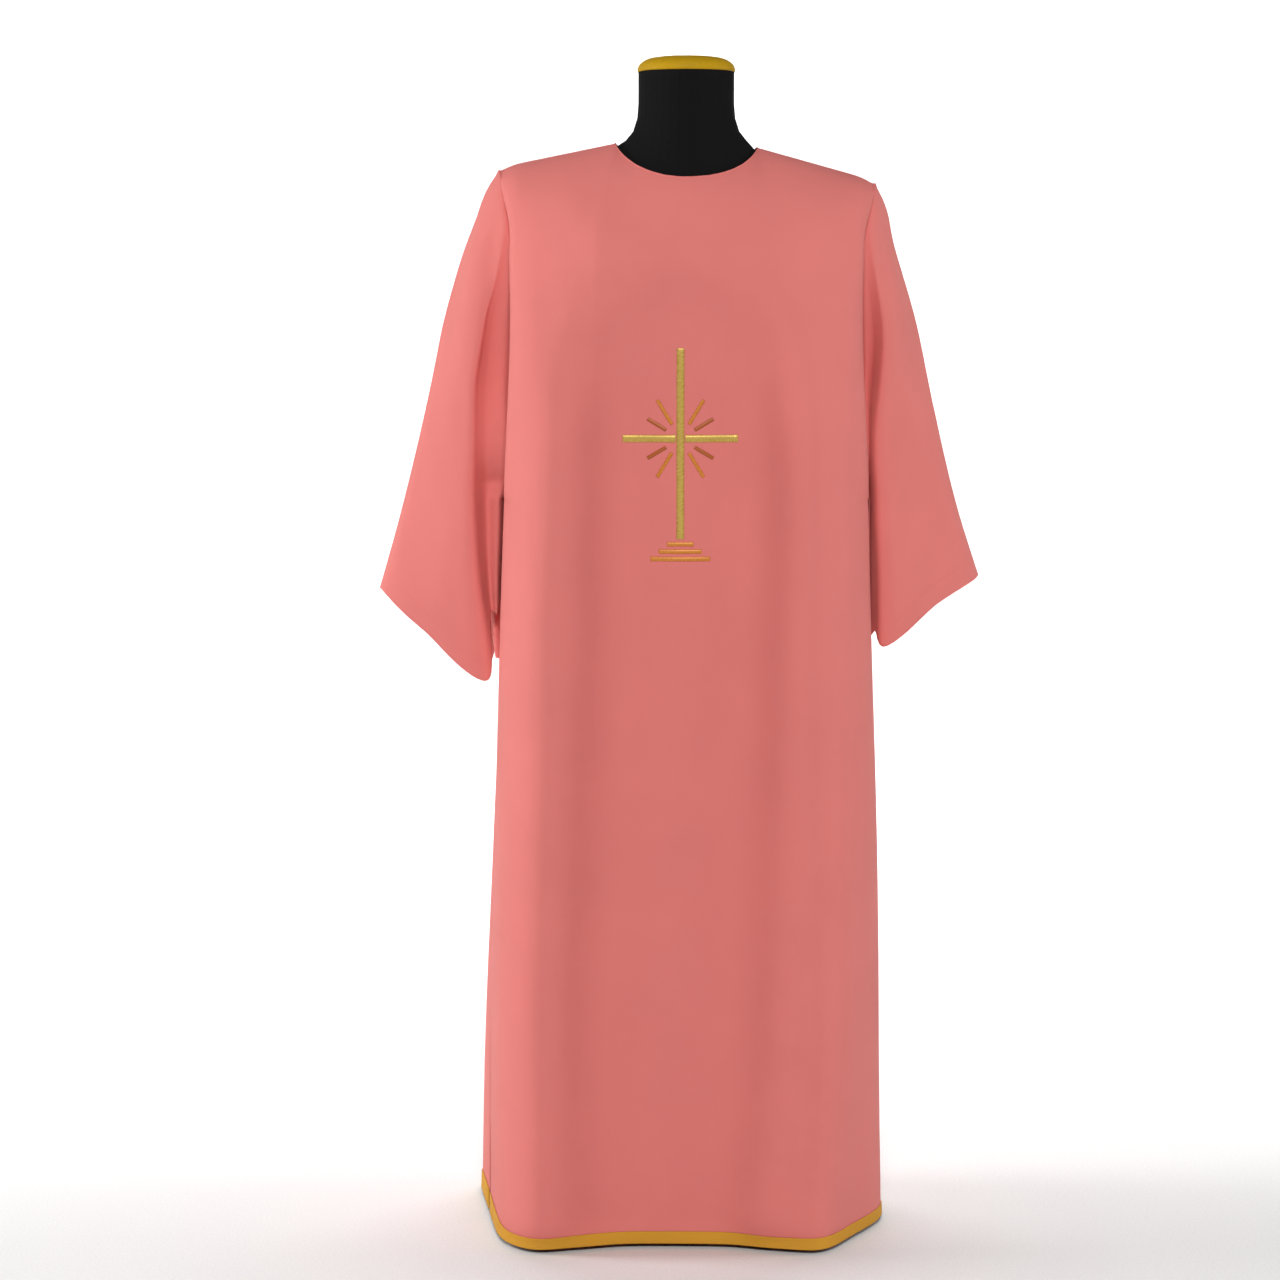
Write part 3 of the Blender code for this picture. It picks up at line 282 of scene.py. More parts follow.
SHEET = 0.0009              # thickness of the cloth itself
TURN = 0.0008               # radius of a turned edge
SEAM_ALLOWANCE = 0.005
SHOULDER_ALLOWANCE = 0.002  # pressed down between the cloth and the form
CUFF_HEM = 0.027            # how far the cuffs are turned up
SKIRT_HEM = 0.016
SLIT_HEM = 0.010
NECK_FACING = 0.024
SAME_POINT = 0.0002         # border points nearer than this meet at a seam

# The creases. Each runs from one point to another, in x and z, as a soft ridge, or with a minus as a trough,
# that fades out towards both of its ends.
CREASES = {
    # x0, z0, x1, z1, width, stands
    "front": (
        (-0.155, 1.300, -0.070, 1.190, 0.034, 0.0030),
        (0.165, 1.290, 0.080, 1.185, 0.034, 0.0028),
        (-0.150, 1.185, -0.108, 1.060, 0.036, -0.0030),
        (0.088, 1.190, 0.110, 1.060, 0.034, -0.0026),
        (-0.090, 1.208, 0.085, 1.204, 0.026, 0.0032),
        (-0.185, 1.260, -0.150, 1.020, 0.018, -0.0013),
        (0.190, 1.240, 0.158, 1.030, 0.020, -0.0016),
        (-0.085, 1.252, 0.080, 1.246, 0.028, -0.0030),
        (-0.200, 0.960, -0.172, 0.720, 0.014, 0.0011),
        (0.200, 0.930, 0.186, 0.660, 0.015, 0.0012),
        (-0.070, 0.780, -0.078, 0.420, 0.020, -0.0012),
        (0.052, 0.820, 0.060, 0.500, 0.018, 0.0010),
        (-0.168, 0.560, -0.176, 0.180, 0.016, -0.0015),
        (0.196, 0.520, 0.206, 0.090, 0.016, 0.0017),
        (0.034, 0.400, 0.040, 0.080, 0.024, 0.0013),
        (-0.048, 0.330, -0.054, 0.060, 0.022, 0.0012),
        (0.140, 0.360, 0.146, 0.100, 0.015, -0.0012),
    ),
    "back": (
        (-0.140, 1.300, -0.070, 1.130, 0.026, 0.0018),
        (0.150, 1.290, 0.080, 1.140, 0.028, 0.0016),
        (-0.190, 1.250, -0.178, 1.000, 0.018, -0.0014),
        (0.186, 1.240, 0.176, 1.010, 0.020, -0.0016),
        (-0.010, 1.280, 0.006, 1.080, 0.026, -0.0012),
        (-0.122, 0.930, -0.130, 0.610, 0.016, 0.0014),
        (0.020, 0.880, 0.028, 0.560, 0.018, -0.0015),
        (0.182, 0.860, 0.190, 0.520, 0.015, 0.0014),
        (-0.196, 0.640, -0.206, 0.220, 0.016, 0.0016),
        (-0.056, 0.520, -0.064, 0.110, 0.018, 0.0013),
        (0.094, 0.470, 0.104, 0.070, 0.016, -0.0016),
        (0.196, 0.380, 0.208, 0.060, 0.015, 0.0014),
    ),
    "sleeve_right_front": (
        (-0.236, 1.290, -0.238, 1.080, 0.013, -0.0045),
        (-0.252, 1.285, -0.272, 1.060, 0.014, 0.0032),
        (-0.262, 1.180, -0.300, 0.960, 0.012, 0.0012),
        (-0.300, 1.050, -0.352, 0.850, 0.014, -0.0012),
        (-0.288, 0.930, -0.312, 0.740, 0.014, 0.0014),
        (-0.340, 0.900, -0.372, 0.800, 0.012, 0.0009),
    ),
    "sleeve_right_back": (
        (-0.256, 1.150, -0.292, 0.940, 0.013, -0.0014),
        (-0.290, 1.020, -0.336, 0.830, 0.014, 0.0014),
        (-0.270, 0.900, -0.286, 0.740, 0.013, -0.0011),
    ),
    "sleeve_left_front": (
        (0.237, 1.270, 0.234, 1.080, 0.012, -0.0035),
        (0.252, 1.265, 0.264, 1.070, 0.013, 0.0024),
        (0.254, 1.130, 0.288, 0.930, 0.012, 0.0012),
        (0.266, 1.000, 0.322, 0.830, 0.014, -0.0013),
        (0.246, 0.900, 0.262, 0.770, 0.013, 0.0012),
    ),
    "sleeve_left_back": (
        (0.250, 1.110, 0.282, 0.900, 0.013, 0.0014),
        (0.270, 0.980, 0.318, 0.820, 0.014, -0.0013),
        (0.246, 0.880, 0.262, 0.770, 0.012, 0.0011),
    ),
}
CREASE_BEND = 0.12          # how far a crease's ends bend aside, as a share of its length
CREASE_OVER = 0.15          # a crease runs on past both its ends by this share of its length
CREASE_HEAD = 0.45          # and fades in and out over these shares
CREASE_FOOT = 0.55
CREASE_SEAM = 0.03          # creases fade out over this length towards a piece's border

BANK_STANDS = 0.0088        # the channel's banks are this much sharper than the solid's
BANK_STEP = 0.034           # from the middle of a bank to its crest, and to its dip
BANK_WIDTH = 0.048
BANK_TOP_Z = 1.14
BANK_FADE = 0.16

# The sleeves' inner corners hang lower beside the body than the solids' do.
CORNER_DROPS = (
    # piece, drop, towards the body
    ("sleeve_right_back", 0.062, 0.005),
    ("sleeve_left_front", 0.038, -0.004),
    ("sleeve_left_back", 0.050, -0.004),
)
CORNER_FROM = 0.60          # share of the way down the sleeve where the drop starts
CORNER_SEAM = 0.014         # it grows over this length from the seam,
CORNER_REACH = 0.030        # and ends beyond this one
CORNER_FADE = 0.045

# The shoulders' outer ends are rounded off: the point sinks, and the cloth below it stands out.
SHOULDER_ENDS = ((-0.229, 1.322), (0.231, 1.306))
SHOULDER_SINK = 0.004
SINK_WIDTH = 0.014
SHOULDER_BULGE = 0.0035
BULGE_OUT = 0.010           # the bulge's middle lies this far out from the point
BULGE_BELOW = 0.035
BULGE_WIDTH = 0.028

# ---- braid, stitches and piping

BRAID_HEIGHT = 0.013
BRAID_DROP = 0.002          # the braid reaches this far below the cloth's edge
BRAID_WALL = 0.0012
BRAID_ROWS = 13
BRAID_FINER = 3             # columns of the braid for each one of the cloth
BRAID_PATCH = 0.9           # the braid is this much taller at the side slit on the wearer's right
BRAID_PATCH_COLUMNS = 9.0
BRAID_STEPS = 25            # lines followed on the cloth, from the hem up; the braid's rows lie between them
CORD_IN = 0.06              # from the braid's edges to its cords, as a share of its height
CORD_WIDTH = 0.07
RIB_PITCH = 0.0042
RIB_SLANT = 1.6
BRAID_FLAT = 0.80           # the ground's thickness as a share of BRAID_WALL, then what cords and ribs add
CORD_STANDS = 0.22
RIB_STANDS = 0.16
BRAID_BACK = 0.8            # and how far behind its face its back lies

STITCH_PITCH = 0.0034
STITCH_LENGTH = 0.0025
STITCH_RADIUS = 0.00028
STITCH_SIDES = 5
STITCH_BOW = (-0.9, 0.25, 0.45, 0.25, -0.9)   # how a stitch rises from the cloth, for its radius
NECK_STITCH_IN = 0.006      # from the neckline to its stitches
CUFF_STITCH_IN = 0.003      # from the turned cloth's inner edge to its stitches
SLIT_STITCH_IN = 0.002
BRAID_STITCH_IN = 0.0008    # from the braid's upper edge
SLIT_ROWS_FREE = 5          # the slit's stitches end this many rows above the hem

PIPING_RADIUS = 0.0011
PIPING_SIDES = 10
PIPING_IN = 0.0005          # from the neckline to the middle of its piping
PIPING_SINK = 0.0004

# Colours, as the light that each sends back.
ROSE = (0.735, 0.200, 0.182)
ROSE_THREAD = (0.70, 0.185, 0.168)
BRAID_GOLD = (0.64, 0.315, 0.030)
# The lighter and darker thread colours below are the two ends of the satin stitch's painted sheen streaks.
GOLD_LIGHT = (0.70, 0.50, 0.115)
GOLD_DARK = (0.46, 0.285, 0.045)
AMBER_LIGHT = (0.80, 0.34, 0.035)
AMBER_DARK = (0.50, 0.125, 0.018)
RUST_DARK = (0.36, 0.085, 0.014)
CAP_GOLD = (0.475, 0.277, 0.006)
JERSEY = (0.0065, 0.0065, 0.0068)
STEEL = (0.050, 0.050, 0.055)


# ---- curves

def hermite(p0, m0, p1, m1, t):
    """The cubic that leaves p0 with slope m0 and reaches p1 with slope m1, for t from 0 to 1."""
    t2, t3 = t * t, t * t * t
    return (2 * t3 - 3 * t2 + 1) * p0 + (t3 - 2 * t2 + t) * m0 + (3 * t2 - 2 * t3) * p1 + (t3 - t2) * m1


def through(stations, values, at):
    """A smooth curve through a table's column, at the given stations. Past its ends it stays straight. Where
    the table has several columns, each is read at a station of its own."""
    stations, values, at = (np.asarray(x, float) for x in (stations, values, at))
    slopes = np.gradient(values, stations, axis=0)
    i = np.clip(np.searchsorted(stations, at) - 1, 0, len(stations) - 2)
    span = stations[i + 1] - stations[i]
    t = (at - stations[i]) / span
    own = (np.arange(values.shape[1]),) if values.ndim > 1 else ()
    here, there = (i, *own), (i + 1, *own)
    leave, arrive = slopes[here] * span, slopes[there] * span
    inside = hermite(values[here], leave, values[there], arrive, np.clip(t, 0, 1))
    return inside + leave * np.minimum(t, 0) + arrive * np.maximum(t - 1, 0)


def curve(columns, name, z):
    """A smooth curve through one column of a table, at heights z."""
    return through(columns["z"], columns[name], z)


def smoothstep(x):
    x = np.clip(x, 0, 1)
    return x * x * (3 - 2 * x)


def bell(x, width):
    return np.exp(-((x / width) ** 2))


def run_lengths(points, axis=0):
    """Lengths along a grid's points, from its first row or, with axis=1, from its first column."""
    steps = np.linalg.norm(np.diff(points, axis=axis), axis=-1)
    return np.concatenate([np.zeros_like(steps.take([0], axis)), np.cumsum(steps, axis=axis)], axis=axis)


def points_at(at, stations, points):
    """Points between those that lie at the given stations."""
    return np.stack([np.interp(at, stations, points[:, k]) for k in range(3)], axis=-1)


# ---- seams that several pieces share

def by_side(u, value):
    """The value of the wearer's right side or of the left, by the sign of u."""
    return np.where(u < 0, value("right"), value("left"))


def half_width(side, z):
    """Distance from the middle to the armhole seam or, below it, to the side seam."""
    s = SHOULDERS[side]
    top = smoothstep((z - CHEST_Z) / (s["point_z"] - CHEST_Z))
    return curve(BODY, side, z) * (1 - top) + (s["point_x"] + (z - s["point_z"]) * POINT_LEAN) * top


def armhole_half(side, z, power):
    """How far the armhole's edge lies from its middle line, front or back; 0 at the shoulder and underarm."""
    top = SHOULDERS[side]["point_z"]
    middle, reach = (top + UNDERARM_Z) / 2, (top - UNDERARM_Z) / 2
    return ARMHOLE_HALF * np.clip(1 - ((z - middle) / reach) ** 2, 0, 1) ** power


def slit_half(z):
    return SLIT_HALF * smoothstep((SLIT_TOP_Z - z) / (SLIT_TOP_Z - HEM_Z)) ** SLIT_POWER


def edge_y(side, z, face, power=OVAL):
    """Where a panel ends at its side: the armhole, the side seam or the slit. face is -1 in front, else 1."""
    top = SHOULDERS[side]["point_z"]
    middle = SEAM_Y * smoothstep((z - UNDERARM_Z) / (top - UNDERARM_Z))
    return middle + face * (armhole_half(side, z, power) + slit_half(z))


def near_edge(u):
    """1 at a panel's sides, falling to 0 where its seams no longer shape it."""
    return smoothstep((np.abs(u) - EDGE_SHARE) / (1 - EDGE_SHARE))


# ---- the body panels

def channel_depth(x, z):
    """How far back the front lies in its middle channel, which rises to an arch below the chest."""
    right, left, right_width, left_width = (curve(CHANNEL, name, z) for name in list(CHANNEL)[1:5])
    lift = ARCH_RISE * (1 - np.clip(np.abs(x) / ARCH_HALF, 0, 1) ** 2)
    depth = np.maximum(curve(CHANNEL, "depth", z - lift), 0)
    return depth * (np.tanh((x - right) / right_width) - np.tanh((x - left) / left_width)) / 2


def fold_height(panel, x, z):
    """How far the panel's own folds stand out at x."""
    total = np.zeros(np.broadcast(x, z).shape)
    for head_x, foot_x, width, stands, head_z, fade in FOLDS[panel]:
        fallen = np.clip((head_z - z) / (head_z - HEM_Z), 0, 1)
        place = head_x + (foot_x - head_x) * fallen
        strength = smoothstep((head_z - z) / fade) * (1 - FOLD_GROWTH + FOLD_GROWTH * fallen)
        total = total + stands * strength * bell(x - place, width)
    return total


def level_section(panel, u, z):
    """Points of a body panel where its rows are level. u is -1 at the wearer's right, 1 at the left."""
    face = FACES[panel]
    angle = np.abs(u) * math.pi / 2
    half = by_side(u, lambda side: half_width(side, z))
    edge = by_side(u, lambda side: edge_y(side, z, face))
    start = by_side(u, lambda side: edge_y(side, z, face, ALMOND))
    corner = by_side(u, lambda side: curve(BODY, f"{side}_{panel}_corner", z))
    x = np.sign(u) * half * np.sin(angle)
    flat = np.clip(np.cos(angle), 0, 1) ** corner
    y = start + (face * curve(BODY, panel, z) - start) * flat + (edge - start) * near_edge(u)
    out = fold_height(panel, x, z)
    if panel == "front":
        out = out - channel_depth(x, z)
    y = y + face * out * smoothstep(flat / FOLD_CORNER)
    x = x - curve(BODY, "shear", z) * y
    return np.stack([x, y, np.broadcast_to(z, x.shape)], axis=-1)


def ridge_line(u):
    """The shoulder seam, at the head of each column, as if it ran on over the neck opening."""
    turn = np.clip(np.abs(u) / NECK_SHARE, 0, 1) * math.pi / 2
    start = math.sin(NECK_SHARE * math.pi / 2)
    along = np.clip((np.sin(np.abs(u) * math.pi / 2) - start) / (1 - start), 0, 1)
    point_x = by_side(u, lambda side: SHOULDERS[side]["point_x"])
    x = NECK_HALF * np.sin(turn) + (point_x - NECK_HALF) * along
    z = by_side(u, lambda side: ridge_z(side, x)) - SEAM_SINK
    return np.stack([np.sign(u) * x, np.full_like(x, SEAM_Y), z], axis=-1)


def ridge_z(side, x):
    """Height of the shoulder ridge at x, rounded off level over the neck opening."""
    s = SHOULDERS[side]
    slope = (s["neck_z"] - s["point_z"]) / (s["point_x"] - NECK_HALF)
    middle_z = (SHOULDERS["right"]["neck_z"] + SHOULDERS["left"]["neck_z"] + slope * NECK_HALF) / 2
    over = smoothstep(x / NECK_HALF)
    level = s["neck_z"] * over + middle_z * (1 - over)
    return np.where(x < NECK_HALF, level, s["neck_z"] - slope * (x - NECK_HALF))


def body_grid(panel):
    """The outer points of a body panel: rows from the top edge down, columns from -X to +X."""
    face = FACES[panel]
    u = np.linspace(-1, 1, COLUMNS * FINER + 1)
    top, chest = ridge_line(u), level_section(panel, u, CHEST_Z)
    below = level_section(panel, u, CHEST_Z - CHEST_STEP)
    share = smoothstep(np.abs(u) / NECK_SHARE)
    fall = NECK_FALL[panel] * (1 - share) - face * SEAM_FALL * share
    leave = np.stack([0 * u, face + 0 * u, -fall], axis=-1) * SHOULDER_REACH
    fullness = NECK_FULLNESS[panel] * (1 - share) + SHOULDER_FULLNESS * share
    arrive = (below - chest) / CHEST_STEP * SHOULDER_REACH * fullness[:, None]

    def at(t):
        return hermite(top, leave, chest, arrive, t)

    begin = neckline_start(at, NECK_REACH[panel] - face * SEAM_Y)
    edge = near_edge(u)[:, None]
    rows = []
    for t in np.linspace(0, 1, SLEEVE_COUNT * FINER + 1):
        row = at((begin + (1 - begin) * t)[:, None])
        seam = [armhole_point(side, t, face) for side in SIDES]
        rows.append(row + edge * np.where(u[:, None] < 0, seam[0] - row[0], seam[1] - row[-1]))
    rows += [level_section(panel, u, z) for z in finer((CHEST_Z,) + LEVEL_ROWS)[1:]]
    return even_middle(np.array(rows))


def neckline_start(at, reach):
    """How far down each column the neckline is: half an oval, seen from above, that reaches so far."""
    steps = np.linspace(0, 1, NECK_STEPS)
    rows = np.array([at(t) for t in steps])
    inside = (rows[:, :, 0] / NECK_HALF) ** 2 + ((rows[:, :, 1] - SEAM_Y) / reach) ** 2 < INSIDE_NECK
    return steps[np.where(inside.all(axis=0), 0, np.argmin(inside, axis=0))]


def armhole_point(side, t, face):
    """The armhole's edge from the shoulder point, at t = 0, to the chest section, at t = 1."""
    s = SHOULDERS[side]
    z = s["point_z"] + (CHEST_Z - s["point_z"]) * t ** ARMHOLE_PACE
    return np.array([s["sign"] * half_width(side, z), edge_y(side, z, face), z - SEAM_SINK * (1 - t)])


def even_middle(grid):
    """Spreads the small step between a panel's two halves over the columns beside the middle."""
    middle = grid.shape[1] // 2
    step = grid[:, middle] - grid[:, middle - 1] - (grid[:, middle + 2] - grid[:, middle + 1])
    columns = np.arange(grid.shape[1])
    reach = 1 - smoothstep(np.abs(columns - middle + 0.5) / MIDDLE_COLUMNS)
    share = reach * np.where(columns < middle, 0.5, -0.5)
    return grid + share[None, :, None] * step[:, None, :]


def finer(heights):
    """The heights of rows, with the cloth's finer rows between them."""
    steps = np.arange(len(heights) * FINER_LEVELS - FINER_LEVELS + 1) / FINER_LEVELS
    return np.interp(steps, np.arange(len(heights)), heights)


# ---- the sleeves

def sleeve_section(side, face, column, z):
    """Points of a half sleeve, at columns from the body outwards and at heights z."""
    inner, ridge, outer, crest_y, front_floor_y, back_floor_y = (
        curve(SLEEVES[side], name, z) for name in list(SLEEVES[side])[1:])
    on_armhole = z > UNDERARM_Z
    inner = np.where(on_armhole, half_width(side, z), inner)
    seam = np.where(on_armhole, edge_y(side, z, face), 0)
    floor_y = front_floor_y if face < 0 else back_floor_y
    near_foot = 1 - smoothstep((z - UNDERARM_Z - LEVEL_FLOOR) / LEVEL_FLOOR_FADE)
    floor_y = floor_y + np.maximum(np.abs(seam) - floor_y, 0) * near_foot
    crest_y = crest_y * (1 if face < 0 else BACK_RIDGE)
    wide = ridge - inner
    outside_y = FRONT_OUTSIDE_Y if face < 0 else BACK_OUTSIDE_Y
    x = (inner, inner + np.maximum(TRENCH_NEAR * wide, TRENCH_CLEAR), inner + TRENCH_FAR * wide, ridge,
         ridge + WALL_LEAN, ridge + SLOPE_MIDDLE * (outer - ridge), outer - OUTSIDE_ROUND, outer)
    y = (seam, face * floor_y, face * floor_y, face * (floor_y + crest_y) / 2, face * crest_y,
         face * SLOPE_Y * crest_y, np.full_like(z, face * outside_y), np.full_like(z, SEAM_Y))
    sign = SHOULDERS[side]["sign"]
    return np.stack([sign * through(SLEEVE_KEYS, x, column), through(SLEEVE_KEYS, y, column), z], axis=-1)


def cuff_z(side, face, column):
    cuff = CUFFS[side]
    lift = BACK_CUFF_RISE if face > 0 else 0
    heights = (cuff["inner"], cuff["trench"], cuff["trench"], cuff["wall"] + lift, cuff["crest"] + lift,
               cuff["middle"] + lift / 2, cuff["outer"] - OUTSIDE_DROP, cuff["outer"])
    return through(SLEEVE_KEYS, heights, column)


def sleeve_grid(side, panel):
    """The outer points of a half sleeve. The top row follows the armhole from the chest up to the shoulder
    point, and the first column runs down the rest of the armhole and then the underarm seam."""
    face = FACES[panel]
    heights = finer((CHEST_Z,) + LEVEL_ROWS[:ARMHOLE_ROWS] + UNDERARM_ROWS + (CUFFS[side]["inner"],))
    count = SLEEVE_COUNT * FINER + 1
    column = np.linspace(0, SLEEVE_COUNT, count)
    head = np.array([armhole_point(side, t, face) for t in np.linspace(1, 0, count)])
    foot = cuff_z(side, face, column)
    start = sleeve_section(side, face, column, head[:, 2])
    rows = []
    for z in heights:
        t = (CHEST_Z - z) / (CHEST_Z - heights[-1])
        section = sleeve_section(side, face, column, head[:, 2] + (foot - head[:, 2]) * t)
        rows.append(section + (head - start) * (1 - smoothstep(t / HEAD_SHARE)))
    return np.array(rows)


# ---- grids of points

def grid_normals(grid):
    """Unit normals of a grid of points, before their side is chosen."""
    down, over = np.gradient(grid, axis=0), np.gradient(grid, axis=1)
    normal = np.cross(over, down)
    return normal / np.linalg.norm(normal, axis=2, keepdims=True)


def outline(rows, columns):
    """Indices of a grid's outline, once round, as (row, column) pairs."""
    last_row, last_column = rows - 1, columns - 1
    loop = [(0, c) for c in range(columns)]
    loop += [(r, last_column) for r in range(1, rows)]
    loop += [(last_row, c) for c in range(last_column - 1, -1, -1)]
    loop += [(r, 0) for r in range(last_row - 1, 0, -1)]
    return loop


def inset_outline(grid, normals, distance):
    """The grid with its outline drawn in by that distance, along the cloth."""
    loop = outline(*grid.shape[:2])
    points = np.array([grid[i] for i in loop])
    centre = np.array([grid[min(max(r, 1), grid.shape[0] - 2), min(max(c, 1), grid.shape[1] - 2)]
                       for r, c in loop])
    moved = grid.copy()
    for k, place in enumerate(loop):
        inward = []
        for other in (points[k] - points[k - 1], points[(k + 1) % len(loop)] - points[k]):
            side = np.cross(normals[place], other)
            side /= np.linalg.norm(side)
            inward.append(side * np.sign(side @ (centre[k] - points[k]) or 1))
        both = inward[0] + inward[1]
        # The 0.5 keeps the inset of a sharp corner short.
        moved[place] = grid[place] + distance * both / max(1 + inward[0] @ inward[1], 0.5)
    return moved


def border_distance(grid):
    """Each point's distance in from the grid's top, foot, left and right border, along the cloth."""
    from_top, from_left = run_lengths(grid), run_lengths(grid, axis=1)
    return from_top, from_top[-1] - from_top, from_left, from_left[:, -1:] - from_left


def grid_faces(rows, columns, first=0):
    """Quads between the points of a grid."""
    return [(at, at + columns, at + columns + 1, at + 1) for r in range(rows - 1)
            for at in range(first + r * columns, first + (r + 1) * columns - 1)]


def wall_faces(rows, columns, points):
    """Faces of a closed wall: the outer grid's points come first, then the inner grid's. Its edges are split
    along their shorter diagonals."""
    size = rows * columns
    faces = []
    for quad in grid_faces(rows, columns):
        faces += [quad, [i + size for i in reversed(quad)]]
    loop = [r * columns + c for r, c in outline(rows, columns)]
    for a, b in zip(loop, loop[1:] + loop[:1]):
        if np.linalg.norm(points[a] - points[b + size]) < np.linalg.norm(points[b] - points[a + size]):
            faces += [[a, b, b + size], [a, b + size, a + size]]
        else:
            faces += [[a, b, a + size], [b, b + size, a + size]]
    return faces


# ---- the cloth and its creases

def crease_height(piece, x, z):
    """How far the piece's creases stand out at a point. Each bends a little and fades at both its ends."""
    total = np.zeros(np.broadcast(x, z).shape)
    for x0, z0, x1, z1, width, stands in CREASES[piece]:
        run, rise = x1 - x0, z1 - z0
        length = math.hypot(run, rise)
        along = ((x - x0) * run + (z - z0) * rise) / length ** 2
        over = ((x - x0) * rise - (z - z0) * run) / length
        bend = CREASE_BEND * length * (along - 0.5) ** 2 * np.sign(stands)
        fade = (smoothstep((along + CREASE_OVER) / CREASE_HEAD)
                * smoothstep((1 + CREASE_OVER - along) / CREASE_FOOT))
        total = total + stands * fade * bell(over - bend, width)
    return total


def bank_height(x, z):
    """How far the front stands out outside the banks of its channel, and lies back on their inner side."""
    right, left = (curve(CHANNEL, name, z) for name in ("right_bank", "left_bank"))
    crests = bell(x - right + BANK_STEP, BANK_WIDTH) + bell(x - left - BANK_STEP, BANK_WIDTH)
    dips = bell(x - right - BANK_STEP, BANK_WIDTH) + bell(x - left + BANK_STEP, BANK_WIDTH)
    return BANK_STANDS * (crests - dips) * smoothstep((BANK_TOP_Z - z) / BANK_FADE)


def drop_corner(grid, drop, inwards):
    """Lets a half sleeve hang lower near its underarm seam, but not at the seam itself."""
    rows = grid.shape[0]
    down = smoothstep((np.arange(rows) / (rows - 1) - CORNER_FROM) / (1 - CORNER_FROM))[:, None]
    from_seam = border_distance(grid)[2]
    beyond = smoothstep((from_seam - CORNER_REACH) / CORNER_FADE)
    share = down * smoothstep(from_seam / CORNER_SEAM) * (1 - beyond)
    return grid + share[:, :, None] * np.array([inwards, 0.0, -drop])


def round_shoulders(grid):
    grid = grid.copy()
    for end_x, end_z in SHOULDER_ENDS:
        out = math.copysign(1, end_x)
        x, z = grid[:, :, 0], grid[:, :, 2]
        sink = bell(np.hypot(x - end_x, z - end_z), SINK_WIDTH)
        bulge = bell(np.hypot(x - end_x - out * BULGE_OUT, z - end_z + BULGE_BELOW), BULGE_WIDTH)
        grid[:, :, 0], grid[:, :, 2] = x + out * SHOULDER_BULGE * bulge, z - SHOULDER_SINK * sink
    return grid


def cloth_grids():
    """Name -> [points, normals] of the two body panels and the four half sleeves."""
    pieces = {panel: body_grid(panel) for panel in PANELS}
    pieces.update({f"sleeve_{side}_{panel}": sleeve_grid(side, panel) for side in SIDES for panel in PANELS})
    for name, drop, inwards in CORNER_DROPS:
        pieces[name] = drop_corner(pieces[name], drop, inwards)
    made = {}
    for name, grid in pieces.items():
        grid = round_shoulders(grid)
        normal = grid_normals(grid)
        middle = normal[grid.shape[0] * 2 // 3, grid.shape[1] * 2 // 3]
        normal *= np.sign(middle[1] * FACES[name.split("_")[-1]])
        stands = crease_height(name, grid[:, :, 0], grid[:, :, 2])
        if name == "front":
            stands = stands + bank_height(grid[:, :, 0], grid[:, :, 2])
        away = smoothstep(np.minimum.reduce(border_distance(grid)) / CREASE_SEAM)
        grid = grid + normal * (stands * away)[:, :, None]
        fresh = grid_normals(grid)
        made[name] = [grid, fresh * np.sign((fresh * normal).sum(axis=2, keepdims=True))]
    meet_at_seams(made)
    return made


def meet_at_seams(made):
    """Gives the pieces one normal where their borders meet."""
    places = [(name, place) for name, (grid, _) in made.items() for place in outline(*grid.shape[:2])]
    tree = KDTree(len(places))
    for i, (name, place) in enumerate(places):
        tree.insert(made[name][0][place], i)
    tree.balance()
    shared = []
    for name, place in places:
        near = tree.find_range(made[name][0][place], SAME_POINT)
        total = sum(made[places[i][0]][1][places[i][1]] for _, i, _ in near)
        shared.append(total / np.linalg.norm(total))
    for (name, place), normal in zip(places, shared):
        made[name][1][place] = normal


# ---- edges: seam allowances and turned hems

def edge_run(array, edge, start, stop):
    """The array turned so that the edge comes first, cut to a run along it."""
    turned = array if edge in ("top", "bottom") else array.swapaxes(0, 1)
    return (turned[::-1] if edge in ("bottom", "left") else turned)[:, start:stop]


def inside_at(rows, normals, distance, depth):
    """The edge's points at a distance in from it, sunk to a depth below the surface."""
    lengths, sunk = run_lengths(rows), rows - normals * depth
    return np.array([points_at(distance, lengths[:, c], sunk[:, c]) for c in range(rows.shape[1])])


def turned_edge(rows, normals, angles):
    """The edge's points, and those that follow them round its turn, at these angles in degrees."""
    out = rows[0] - rows[2]
    out -= normals[0] * (out * normals[0]).sum(axis=1, keepdims=True)
    out /= np.linalg.norm(out, axis=1, keepdims=True)
    return [rows[0]] + [rows[0] + TURN * (out * math.sin(a) - normals[0] * (1 - math.cos(a)))
                        for a in map(math.radians, angles)]


def seam_flap(rows, normals, depth):
    """A seam allowance: the cloth turns in at the seam and runs straight down inside."""
    made = turned_edge(rows, normals, angles=(30, 60, 90))
    return np.array(made + [made[-1] - normals[0] * depth * share for share in (0.5, 1.0)])


def hem_flap(rows, normals, depth):
    """A hem: the cloth turns right round its edge and lies against its own inside."""
    made = turned_edge(rows, normals, angles=(36, 72, 108, 144, 180))
    shares = (0.12, 0.3, 0.5, 0.7, 0.9, 1.0)
    return np.array(made + [inside_at(rows, normals, depth * share, 2 * TURN) for share in shares])


